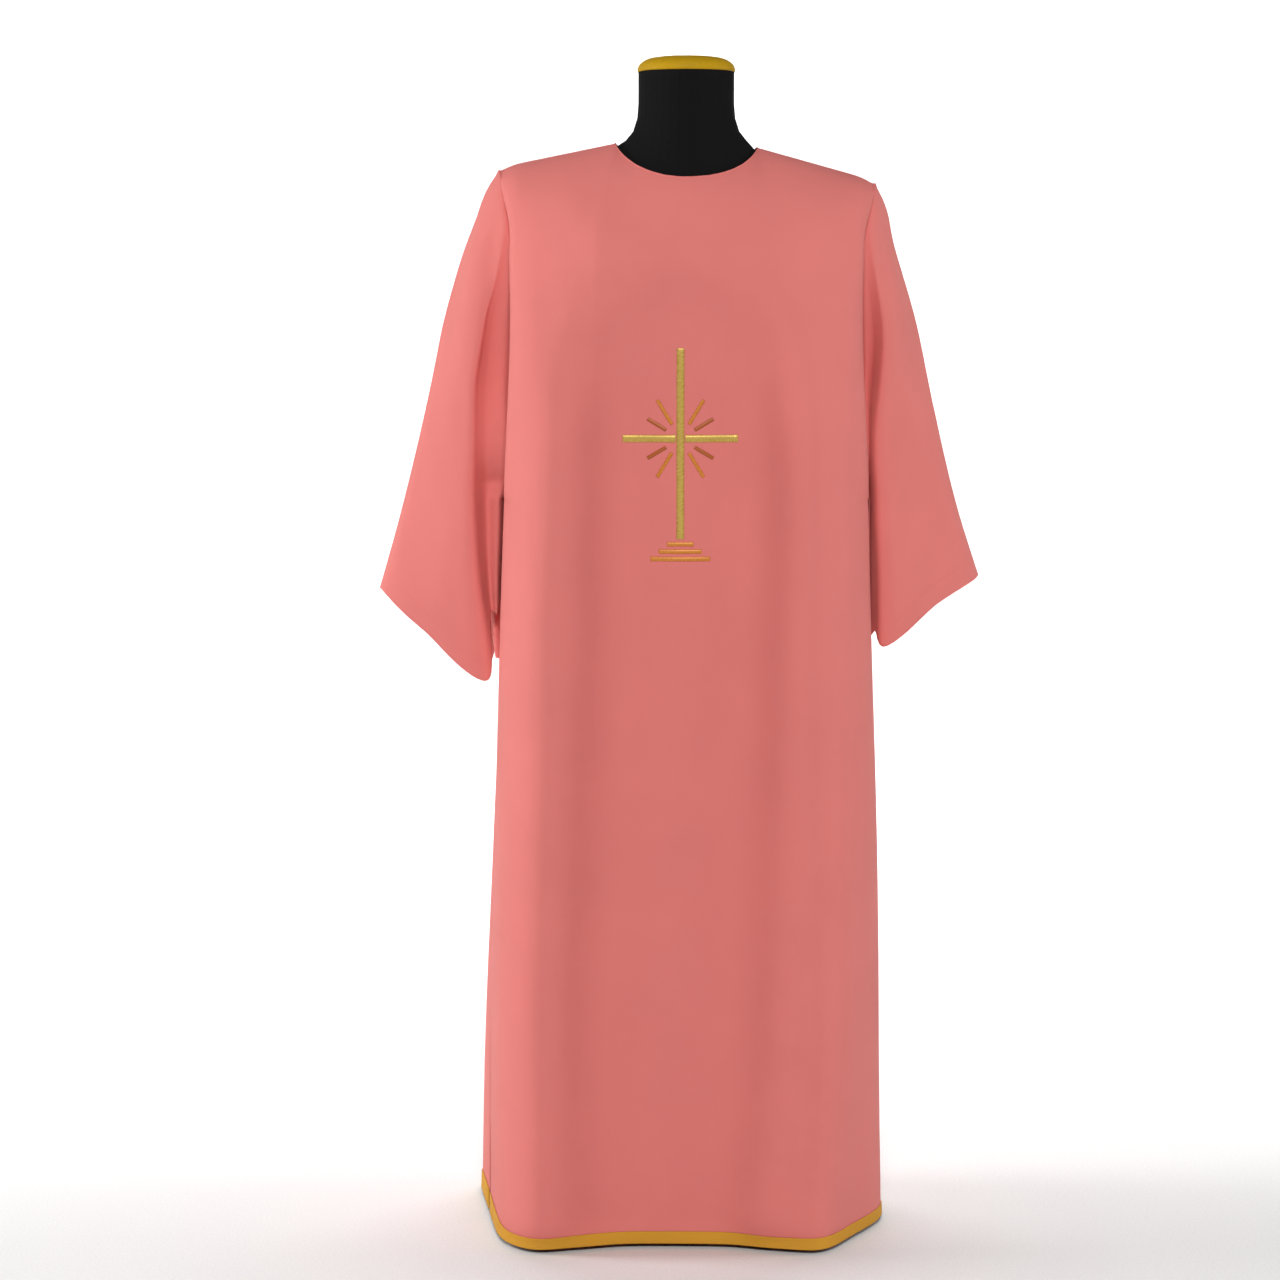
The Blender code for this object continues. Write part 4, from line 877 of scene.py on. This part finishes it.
def cloth_runs(name, grid):
    """Where each edge of a piece is sewn or turned: edge, first and last point along it, kind, and depth."""
    rows, columns = grid.shape[:2]
    if name not in PANELS:
        seams = [(edge, 0, count, seam_flap, SEAM_ALLOWANCE)
                 for edge, count in (("top", columns), ("right", rows), ("left", rows))]
        return seams + [("bottom", 0, columns, hem_flap, CUFF_HEM)]
    slit = int(np.argmax(grid[:, 0, 2] < SLIT_TOP_Z))
    runs = [("top", 0, NECK_START + 1, seam_flap, SHOULDER_ALLOWANCE),
            ("top", NECK_START, NECK_STOP, hem_flap, NECK_FACING),
            ("top", NECK_STOP - 1, columns, seam_flap, SHOULDER_ALLOWANCE),
            ("bottom", 0, columns, hem_flap, SKIRT_HEM)]
    for side in SIDES:
        runs += [(side, 0, slit + 1, seam_flap, SEAM_ALLOWANCE), (side, slit, rows, hem_flap, SLIT_HEM)]
    return runs


def lengths_across(grid):
    """UV of each point, in metres of cloth: across from the middle, and up along the middle column."""
    across_it = run_lengths(grid, axis=1)
    middle = grid.shape[1] // 2
    across_it = across_it - across_it[:, middle:middle + 1]
    along = -run_lengths(grid[:, middle])
    return np.stack([across_it, np.broadcast_to(along[:, None], across_it.shape)], axis=-1)


def add_sheet(name, grid, normals, replaced):
    """A cloth piece from its outer points, with its seam allowances and hems turned in."""
    inset = inset_outline(grid, normals, SEAM_GAP / 2 + TURN)
    uv = lengths_across(inset)
    blocks = [(inset, uv)]
    for edge, start, stop, flap_of, depth in cloth_runs(name, grid):
        rows, facing = (edge_run(a, edge, start, stop) for a in (inset, normals))
        flap = flap_of(rows, facing, depth)
        direction = {"top": (0, 1), "bottom": (0, -1), "right": (-1, 0), "left": (1, 0)}[edge]
        first = edge_run(uv, edge, start, stop)[0]
        blocks.append((flap, first + run_lengths(flap)[:, :, None] * np.array(direction)))
    made = add_blocks(f"{name}_cloth", blocks, rose)
    thick = made.modifiers.new("thickness", "SOLIDIFY")
    thick.thickness = SHEET
    thick.offset = -1
    return as_piece(made, "rose_cloth", replaced)


# ---- meshes

def new_mesh(name, points, faces):
    mesh = bpy.data.meshes.new(name)
    mesh.from_pydata([tuple(p) for p in points.reshape(-1, 3)], [], faces)
    return mesh


def give_uv(mesh, uv):
    """Gives each corner of the mesh the UV of its point."""
    layer = mesh.uv_layers.new(name="UVMap")
    corners = np.empty(len(mesh.loops), np.int32)
    mesh.loops.foreach_get("vertex_index", corners)
    layer.data.foreach_set("uv", uv.astype(np.float32)[corners].reshape(-1))


def link(name, mesh, material_used):
    mesh.shade_smooth()
    mesh.materials.append(material_used)
    made = bpy.data.objects.new(name, mesh)
    bpy.context.scene.collection.objects.link(made)
    return made


def as_piece(made, slot, replaced=None):
    """Attaches the object to the root, and hides the solid that it stands for, if any. Its slot is not used.
    """
    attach(made, "root")
    if replaced:
        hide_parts(replaced)
    return made


def add_blocks(name, blocks, material_used):
    """One mesh from grids of points, joined where they meet, its faces turned the way the piece faces."""
    faces, first = [], 0
    for grid, _ in blocks:
        faces += grid_faces(*grid.shape[:2], first)
        first += grid.shape[0] * grid.shape[1]
    mesh = new_mesh(name, np.concatenate([grid.reshape(-1, 3) for grid, _ in blocks]), faces)
    give_uv(mesh, np.concatenate([uv.reshape(-1, 2) for _, uv in blocks]))
    work = bmesh.new()
    work.from_mesh(mesh)
    bmesh.ops.remove_doubles(work, verts=work.verts, dist=1e-6)
    bmesh.ops.recalc_face_normals(work, faces=work.faces)
    work.faces.ensure_lookup_table()
    middle = work.faces[len(work.faces) // 3]
    if middle.normal.y * (1 if "back" in name else -1) < 0:
        bmesh.ops.reverse_faces(work, faces=work.faces)
    work.to_mesh(mesh)
    work.free()
    return link(name, mesh, material_used)


def add_wall(name, outer, inner, uv, material_used, slot):
    """A closed wall between two grids, in place of the solid that its name starts with."""
    points = np.concatenate([outer.reshape(-1, 3), inner.reshape(-1, 3)])
    mesh = new_mesh(name, points, wall_faces(*outer.shape[:2], points))
    work = bmesh.new()
    work.from_mesh(mesh)
    bmesh.ops.recalc_face_normals(work, faces=work.faces)
    work.to_mesh(mesh)
    work.free()
    give_uv(mesh, np.concatenate([uv.reshape(-1, 2)] * 2))
    return as_piece(link(name, mesh, material_used), slot, name.rsplit("_", 1)[0])


def tube_rings(path, normals, radius, sides):
    """Rings round a path. The first point of each ring lies along its normal."""
    along = np.gradient(path, axis=0)
    along /= np.linalg.norm(along, axis=1, keepdims=True)
    up = normals - along * (normals * along).sum(axis=1, keepdims=True)
    up /= np.linalg.norm(up, axis=1, keepdims=True)
    side = np.cross(along, up)
    angles = (np.arange(sides) * 2 * math.pi / sides)[None, :, None]
    return path[:, None] + radius * (up[:, None] * np.cos(angles) + side[:, None] * np.sin(angles))


def tube_faces(rings, sides, first=0):
    """Faces of a tube with closed ends."""
    faces = [[first + k for k in reversed(range(sides))],
             [first + (rings - 1) * sides + k for k in range(sides)]]
    for r in range(rings - 1):
        a = first + r * sides
        for k in range(sides):
            n = (k + 1) % sides
            faces.append([a + k, a + n, a + sides + n, a + sides + k])
    return faces


# ---- materials

class Material:
    """A material's nodes, each added with its settings and with what feeds its sockets."""

    def __init__(self, name):
        self.made = bpy.data.materials.new(name)
        self.made.use_nodes = True
        self.tree = self.made.node_tree

    def add(self, kind, feeds, **settings):
        made = self.tree.nodes.new("ShaderNode" + kind)
        for key, value in settings.items():
            if key in made.inputs:
                made.inputs[key].default_value = value
            else:
                setattr(made, key, value)
        for socket, source in feeds.items():
            self.tree.links.new(source, made.inputs[socket])
        return made

    def coordinates(self, kind):
        return self.add("TexCoord", {}).outputs[kind]

    def noise(self, place, scale, detail, roughness):
        made = self.add("TexNoise", {"Vector": place}, Scale=scale, Detail=detail, Roughness=roughness)
        return made.outputs["Fac"]

    def blend(self, value, factor, plus):
        made = self.add("Math", {0: value, 2: plus}, operation="MULTIPLY_ADD")
        made.inputs[1].default_value = factor
        return made.outputs[0]

    def ramp(self, value, dark, light, start=0.0, end=1.0):
        made = self.add("ValToRGB", {"Fac": value})
        for stop, position, colour in zip(made.color_ramp.elements, (start, end), (dark, light)):
            stop.position, stop.color = position, (*colour, 1)
        return made.outputs["Color"]

    def bump(self, height, strength, distance):
        return self.add("Bump", {"Height": height}, Strength=strength, Distance=distance).outputs["Normal"]

    def finish(self, colour, feeds, **sockets):
        """Feeds the shader, and sets its other sockets. An underscore stands for a space in their names."""
        shader = self.tree.nodes["Principled BSDF"]
        for socket, source in {"Base Color": colour, **feeds}.items():
            self.tree.links.new(source, shader.inputs[socket])
        for key, value in sockets.items():
            shader.inputs[key.replace("_", " ")].default_value = value
        return self.made


def shades(colour, darker, lighter):
    return [c * darker for c in colour], [min(c * lighter, 1.0) for c in colour]


def cloth_material(name, colour, pitch, depth, spread, sheen):
    """A plain weave: warp over weft in turn, each thread rounded, with a soft unevenness of dyeing and yarn.
    Its colour also follows each thread's height: painted shade, lighter on the crowns and darker in the dips
    between threads.
    """
    made = Material(name)
    uv = made.coordinates("UV")
    # At a scale of 1 a wave repeats every pi / 10 and a check is 1 wide, so here both are one pitch wide.
    warp, weft = (made.add("TexWave", {"Vector": uv}, bands_direction=way, wave_profile="SIN", Detail=1.0,
                           Scale=math.pi / 10 / pitch, Distortion=0.25).outputs["Fac"] for way in "XY")
    checks = made.add("TexChecker", {"Vector": uv}, Scale=1 / pitch, Color1=(1, 1, 1, 1), Color2=(0, 0, 0, 1))
    over = made.add("Mix", {0: checks.outputs["Fac"], 2: warp, 3: weft}, data_type="FLOAT").outputs[0]
    height = made.blend(made.noise(uv, scale=420.0, detail=3.0, roughness=0.6), factor=0.8, plus=over)
    # The colour: painted shade of the weave, darker in the dips between threads, plus a soft random
    # unevenness of dyeing.
    dye_and_weave_shade = made.blend(over, factor=0.35, plus=made.noise(uv, scale=9.0, detail=4.0, roughness=0.55))
    shown = made.ramp(dye_and_weave_shade, *shades(colour, 1 - spread, 1 + spread), start=0.25)
    return made.finish(shown, {"Normal": made.bump(height, strength=0.55, distance=depth)}, Roughness=0.78,
                       Specular_IOR_Level=0.20, Sheen_Weight=sheen, Sheen_Roughness=0.45,
                       Sheen_Tint=(1.0, 0.55, 0.50, 1))


def plain_material(name, colour, roughness, grain, scale, **sockets):
    """One colour with a fine grain in its surface."""
    made = Material(name)
    noise = made.noise(made.coordinates("Object"), scale, detail=4.0, roughness=0.6)
    shown = made.ramp(noise, *shades(colour, darker=0.86, lighter=1.12))
    bump = made.bump(noise, strength=0.5, distance=grain)
    return made.finish(shown, {"Normal": bump}, Roughness=roughness, **sockets)


def thread_material(name, light, dark, metallic):
    """Satin stitch: single threads differ a little in colour, and the sheen is painted into the colour as
    short lighter and darker streaks.
    """
    made = Material(name)
    stretch = made.add("Mapping", {"Vector": made.coordinates("UV")}, Scale=(0.12, 1.0, 1.0))
    # Painted sheen: stretched noise streaks the base colour lighter and darker along the threads.
    streaks = made.noise(stretch.outputs["Vector"], scale=900.0, detail=2.0, roughness=0.6)
    shown = made.ramp(streaks, dark, light, start=0.30, end=0.72)
    return made.finish(shown, {}, Roughness=0.42, Metallic=metallic)


# name, colour, pitch, depth, spread and sheen
rose = cloth_material("rose_plain_weave", ROSE, 0.0007, 0.00016, 0.05, 0.18)
braid_gold = cloth_material("gold_woven_braid", BRAID_GOLD, 0.0011, 0.00030, 0.10, 0.0)
# name, colour, roughness, depth of the grain and its scale
rose_thread = plain_material("rose_sewing_thread", ROSE_THREAD, 0.55, 0.00002, 2500.0)
jersey = plain_material("black_jersey", JERSEY, 0.90, 0.00025, 1400.0, Specular_IOR_Level=0.08)
cap_gold = plain_material("gold_cap", CAP_GOLD, 0.60, 0.00004, 160.0, Specular_IOR_Level=0.12)
steel = plain_material("dark_steel", STEEL, 0.45, 0.00006, 900.0, Metallic=0.8)
# name, lighter and darker colour of the threads and their painted sheen, and how metallic
gold_thread = thread_material("gold_satin_stitch", GOLD_LIGHT, GOLD_DARK, 0.35)
amber_thread = thread_material("amber_satin_stitch", AMBER_LIGHT, AMBER_DARK, 0.15)
rust_thread = thread_material("rust_satin_stitch", AMBER_DARK, RUST_DARK, 0.10)

# ---- the garment and its sewing

cloth = cloth_grids()
sheets = {name: add_sheet(name, grid, normals, f"{name}_panel" if name in PANELS else name)
          for name, (grid, normals) in cloth.items()}


def path_in(piece, edge, start, stop, distance, lift=0.0):
    """A line on a piece at a distance in from an edge, with its normals, lifted off the surface."""
    rows, facing = (edge_run(a, edge, start, stop) for a in cloth[piece])
    line = inside_at(rows, facing, distance, -lift)
    up = line - inside_at(rows, facing, distance, 0.001 - lift)   # from 1 mm below the line
    return line, up / np.linalg.norm(up, axis=1, keepdims=True)


def add_stitches(name, lines, material_used):
    """Rows of separate stitches along lines of points and normals."""
    tubes, faces = [], []
    bow = np.array(STITCH_BOW) * STITCH_RADIUS
    spots = np.linspace(-0.5, 0.5, len(bow)) * STITCH_LENGTH
    for line, up in lines:
        lengths = run_lengths(line)
        count = int(lengths[-1] / STITCH_PITCH)
        for n in range(count):
            at = (n + 0.5) * lengths[-1] / count + spots
            facing = points_at(at, lengths, up)
            path = points_at(at, lengths, line) + facing * bow[:, None]
            faces += tube_faces(len(bow), STITCH_SIDES, len(tubes) * len(bow) * STITCH_SIDES)
            tubes.append(tube_rings(path, facing, STITCH_RADIUS, STITCH_SIDES))
    return as_piece(link(name, new_mesh(name, np.array(tubes), faces), material_used), "rose_cloth")


def add_piping(panel):
    """The narrow rolled edge of the neckline."""
    name = f"neck_piping_{panel}"
    line, up = path_in(panel, "top", NECK_START, NECK_STOP, PIPING_IN, -PIPING_SINK)
    rings = tube_rings(line, up, PIPING_RADIUS, PIPING_SIDES)
    mesh = new_mesh(name, rings, tube_faces(len(line), PIPING_SIDES))
    mesh.validate()
    return as_piece(link(name, mesh, rose), "rose_cloth")


def add_braid(panel):
    """The flat woven braid over the hem: two corded edges and a slanting rib between them."""
    grid = cloth[panel][0]
    base = np.arange(grid.shape[1])
    at = np.arange(BRAID_FINER * (grid.shape[1] - 1) + 1) / BRAID_FINER
    steps = np.linspace(0, BRAID_HEIGHT * (1 + BRAID_PATCH), BRAID_STEPS)
    paths = np.array([path_in(panel, "bottom", 0, grid.shape[1], d) for d in steps])
    taller = 1 + BRAID_PATCH * bell(base, BRAID_PATCH_COLUMNS)
    outer, facing = [], []
    for s in np.linspace(1, -BRAID_DROP / BRAID_HEIGHT, BRAID_ROWS):
        wanted = BRAID_HEIGHT * max(s, 0) * taller
        for made, which in ((outer, 0), (facing, 1)):
            row = np.array([points_at(d, steps, paths[:, which, c]) for c, d in enumerate(wanted)])
            made.append(points_at(at, base, row))
        outer[-1][:, 2] += BRAID_HEIGHT * min(s, 0)
    outer, facing = np.array(outer), np.array(facing)
    facing[:, :, 2] = 0
    facing /= np.linalg.norm(facing, axis=2, keepdims=True)
    height = np.linspace(0, 1, BRAID_ROWS)[:, None]
    along = run_lengths(outer[0])[None, :]
    cord = bell(height - CORD_IN, CORD_WIDTH) + bell(height - 1 + CORD_IN, CORD_WIDTH)
    rib = 0.5 + 0.5 * np.cos(2 * math.pi * (along / RIB_PITCH + RIB_SLANT * np.abs(height - 0.5)))
    stands = BRAID_WALL * (BRAID_FLAT + CORD_STANDS * cord + RIB_STANDS * rib * (1 - np.clip(cord, 0, 1)))
    outer = outer + facing * (SEAM_GAP + stands)[:, :, None]
    inner = outer - facing * BRAID_WALL * BRAID_BACK
    return add_wall(f"hem_braid_{panel}_woven", outer, inner, lengths_across(outer), braid_gold, "gold_braid")


def stitch_slits(panel):
    grid = cloth[panel][0]
    first = int(np.argmax(grid[:, 0, 2] < SLIT_TOP_Z))
    last = grid.shape[0] - SLIT_ROWS_FREE
    lines = [path_in(panel, side, first, last, SLIT_HEM - SLIT_STITCH_IN) for side in SIDES]
    return add_stitches(f"slit_stitches_{panel}", lines, rose_thread)


def stitch_neck(panel):
    line = path_in(panel, "top", NECK_START, NECK_STOP, NECK_STITCH_IN)
    return add_stitches(f"neck_stitches_{panel}", [line], rose_thread)


def stitch_hem(panel):
    line = path_in(panel, "bottom", 2, COLUMNS * FINER - 1, BRAID_HEIGHT - BRAID_STITCH_IN, BRAID_WALL)
    return add_stitches(f"hem_stitches_{panel}", [line], braid_gold)


extras = {piece: [] for piece in cloth}
for piece, sewn in extras.items():
    if piece not in PANELS:
        line = path_in(piece, "bottom", 0, cloth[piece][0].shape[1], CUFF_HEM - CUFF_STITCH_IN)
        sewn.append(add_stitches(piece.replace("sleeve", "cuff_stitches"), [line], rose_thread))
for add_to in (stitch_slits, stitch_neck, add_piping, add_braid, stitch_hem):
    for panel in PANELS:
        extras[panel].append(add_to(panel))

# ---- the embroidery

front_grid = cloth["front"][0]
front_skin = BVHTree.FromPolygons([Vector(p) for p in front_grid.reshape(-1, 3)],
                                  grid_faces(*front_grid.shape[:2]))


def on_front(x, z):
    """The front cloth's point and normal at x and z."""
    here, normal, _, _ = front_skin.ray_cast(Vector((x, -1.0, z)), Vector((0, 1, 0)))
    normal = np.array(normal)
    return np.array(here), normal * -np.sign(normal[1])


def emblem_bars():
    """Name, place, size, turn, slot and thread of each bar: the cross, eight rays and three steps."""
    rows = [(*bar, "gold_thread", gold_thread) for bar in CROSS_BARS]
    for quarter, (sx, sz) in enumerate(((-1, 1), (1, 1), (-1, -1), (1, -1))):
        for n, (lean, length) in enumerate(EMBLEM_RAYS):
            turn = math.radians(lean)
            away = RAY_START + length / 2
            rows.append((f"emblem_ray_{quarter + 1}_{n + 1}", sx * math.sin(turn) * away,
                         sz * math.cos(turn) * away, length, RAY_WIDTH, sx * sz * lean, "amber_thread",
                         rust_thread if n else amber_thread))
    for n, width in enumerate(STEP_WIDTHS):
        z = LOWEST_STEP_Z + STEP_RISE * n - CROSSING[1]
        rows.append((f"emblem_step_{n + 1}", 0.0, z, width, STEP_HEIGHT, 90.0, "amber_thread", amber_thread))
    return rows


def add_satin_bar(name, x, z, length, width, turn, slot, material_used):
    """A padded bar of satin stitch on the front: each thread crosses it aslant, with uneven ends."""
    turn = math.radians(turn)
    middle = np.array([x, z])
    along, over = np.array([math.sin(turn), math.cos(turn)]), np.array([math.cos(turn), -math.sin(turn)])
    threads = int(length / THREAD_PITCH)
    steps = 2 * threads
    random = np.random.default_rng(len(name) * 1009 + steps)   # a seed of the bar's own
    ends = random.uniform(-THREAD_UNEVEN, THREAD_UNEVEN, (threads + 1, 2))
    spots = np.array(THREAD_SPOTS)
    laid = []
    for i in range(steps + 1):
        a = -length / 2 + length * i / steps
        for spot in spots:
            b = spot * (width / 2 + ends[i // 2][0 if spot < 0 else 1])
            slant = THREAD_SLANT * b * (1 - (2 * a / length) ** SLANT_POWER)
            laid.append(on_front(*(middle + along * (a + slant) + over * b)))
    laid = np.array(laid).reshape(steps + 1, len(spots), 2, 3)
    base, facing = laid[:, :, 0], laid[:, :, 1]
    crown = np.sqrt(np.clip(1 - np.abs(spots) ** CROWN_POWER, 0, 1))[None, :]
    round_off = np.sqrt(np.clip(1 - np.abs(np.linspace(-1, 1, steps + 1)) ** END_POWER, 0, 1))[:, None]
    ripple = np.where(np.arange(steps + 1) % 2 == 0, *THREAD_RIPPLE)[:, None]
    height = crown * (THREAD_CROWN * (BAR_END + (1 - BAR_END) * round_off) + ripple)
    uv = np.stack(np.broadcast_arrays(spots[None, :] * width / 2, np.linspace(0, length, steps + 1)[:, None]),
                  axis=-1)
    return add_wall(name, base + facing * (THREAD_LIFT + height)[:, :, None], base - facing * THREAD_SINK, uv,
                    material_used, slot)


extras["front"] += [add_satin_bar(f"{name}_stitched", CROSSING[0] + x, CROSSING[1] + z, *rest)
                    for name, x, z, *rest in emblem_bars()]

# ---- the dress form

for part, finish in (("form_torso", jersey), ("form_pole", steel), ("form_foot", steel)):
    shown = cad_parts[part]
    shown.data.materials.clear()
    shown.data.materials.append(finish)


def add_cap():
    """The flat, rounded cap on the form's neck, turned."""
    profile = np.array(CAP_PROFILE)
    lengths = run_lengths(profile)
    at = np.linspace(0, lengths[-1], CAP_RINGS)
    radius = through(lengths, profile[:, 0], at)
    z = CAP_TOP_Z - through(lengths, profile[:, 1], at)
    radius, z = np.concatenate([CAP_MIDDLE, radius]), np.concatenate([[CAP_TOP_Z] * 2, z])
    angles = np.arange(CAP_SIDES) * 2 * math.pi / CAP_SIDES
    rings = np.stack([radius[:, None] * np.sin(angles), -radius[:, None] * np.cos(angles),
                      np.broadcast_to(z[:, None], (len(z), CAP_SIDES))], axis=-1)
    name = "neck_cap_turned"
    made = link(name, new_mesh(name, rings, tube_faces(len(z), CAP_SIDES)), cap_gold)
    as_piece(made, "gold_cap", "form_neck_cap")


add_cap()

# ---- floor, light and camera

FLOOR_HALF = 5.0            # half its width, and how far it runs towards the front
FLOOR_BACK = 4.2            # where the floor starts to curve up into the wall
FLOOR_TURN = 1.4            # radius of that curve
FLOOR_ANGLES = (0.1, math.pi / 2, 16)   # its first and last angle, and its points
WALL_TOP = 3.6
PALE = (0.74, 0.74, 0.74)
LIGHTS = (
    # name, place, target, width, height, watts, colour
    ("key_softbox", (0.0, -5.5, 4.1), (0.0, -0.1, 0.85), 1.4, 1.2, 280.0, (1.0, 0.99, 0.98)),
    ("left_softbox", (-3.4, 0.1, 1.6), (-0.1, 0.0, 0.8), 0.8, 2.2, 78.0, (1.0, 1.0, 1.0)),
    ("right_softbox", (3.4, 0.1, 1.6), (0.1, 0.0, 0.8), 0.8, 2.2, 35.0, (1.0, 1.0, 1.0)),
    ("wall_light", (0.0, 1.7, 3.3), (0.0, 4.8, 0.6), 4.4, 0.5, 330.0, (1.0, 1.0, 1.0)),
)
WORLD_STRENGTH = 0.08
CAMERA_PLACE = (-0.0565, -3.70, 1.19)
CAMERA_TILT = 83.066        # degrees up from straight down
CAMERA_LENS = 84.0
CAMERA_SENSOR = 36.0

scene = bpy.context.scene


def add_backdrop():
    """A wide pale floor that curves up into a wall far behind, so that a camera has room on every side."""
    turn = [(FLOOR_BACK + FLOOR_TURN * math.sin(a), FLOOR_TURN - FLOOR_TURN * math.cos(a))
            for a in np.linspace(*FLOOR_ANGLES)]
    profile = [(-FLOOR_HALF, 0.0), (FLOOR_BACK, 0.0)] + turn + [(FLOOR_BACK + FLOOR_TURN, WALL_TOP)]
    points = np.array([(x, y, z) for y, z in profile for x in (-FLOOR_HALF, FLOOR_HALF)])
    faces = [(2 * i, 2 * i + 1, 2 * i + 3, 2 * i + 2) for i in range(len(profile) - 1)]
    link("studio_floor", new_mesh("studio_floor", points, faces),
                  plain_material("pale_floor", PALE, roughness=0.9, grain=0.0, scale=300.0))


def add_area(name, place, target, width, height, watts, colour):
    light = bpy.data.lights.new(name, "AREA")
    light.shape = "RECTANGLE"
    light.size, light.size_y = width, height
    light.energy = watts
    light.color = colour
    made = bpy.data.objects.new(name, light)
    made.location = place
    made.rotation_euler = (Vector(target) - Vector(place)).to_track_quat("-Z", "Y").to_euler()
    scene.collection.objects.link(made)


add_backdrop()
for row in LIGHTS:
    add_area(*row)

world = bpy.data.worlds.new("studio")
world.use_nodes = True
world.node_tree.nodes["Background"].inputs["Color"].default_value = (1.0, 1.0, 1.0, 1.0)
world.node_tree.nodes["Background"].inputs["Strength"].default_value = WORLD_STRENGTH
scene.world = world
scene.view_settings.view_transform = "Standard"

camera_data = bpy.data.cameras.new("camera")
camera_data.lens = CAMERA_LENS
camera_data.sensor_width = CAMERA_SENSOR
camera = bpy.data.objects.new("camera", camera_data)
camera.location = CAMERA_PLACE
camera.rotation_euler = (math.radians(CAMERA_TILT), 0.0, 0.0)
scene.collection.objects.link(camera)
scene.camera = camera
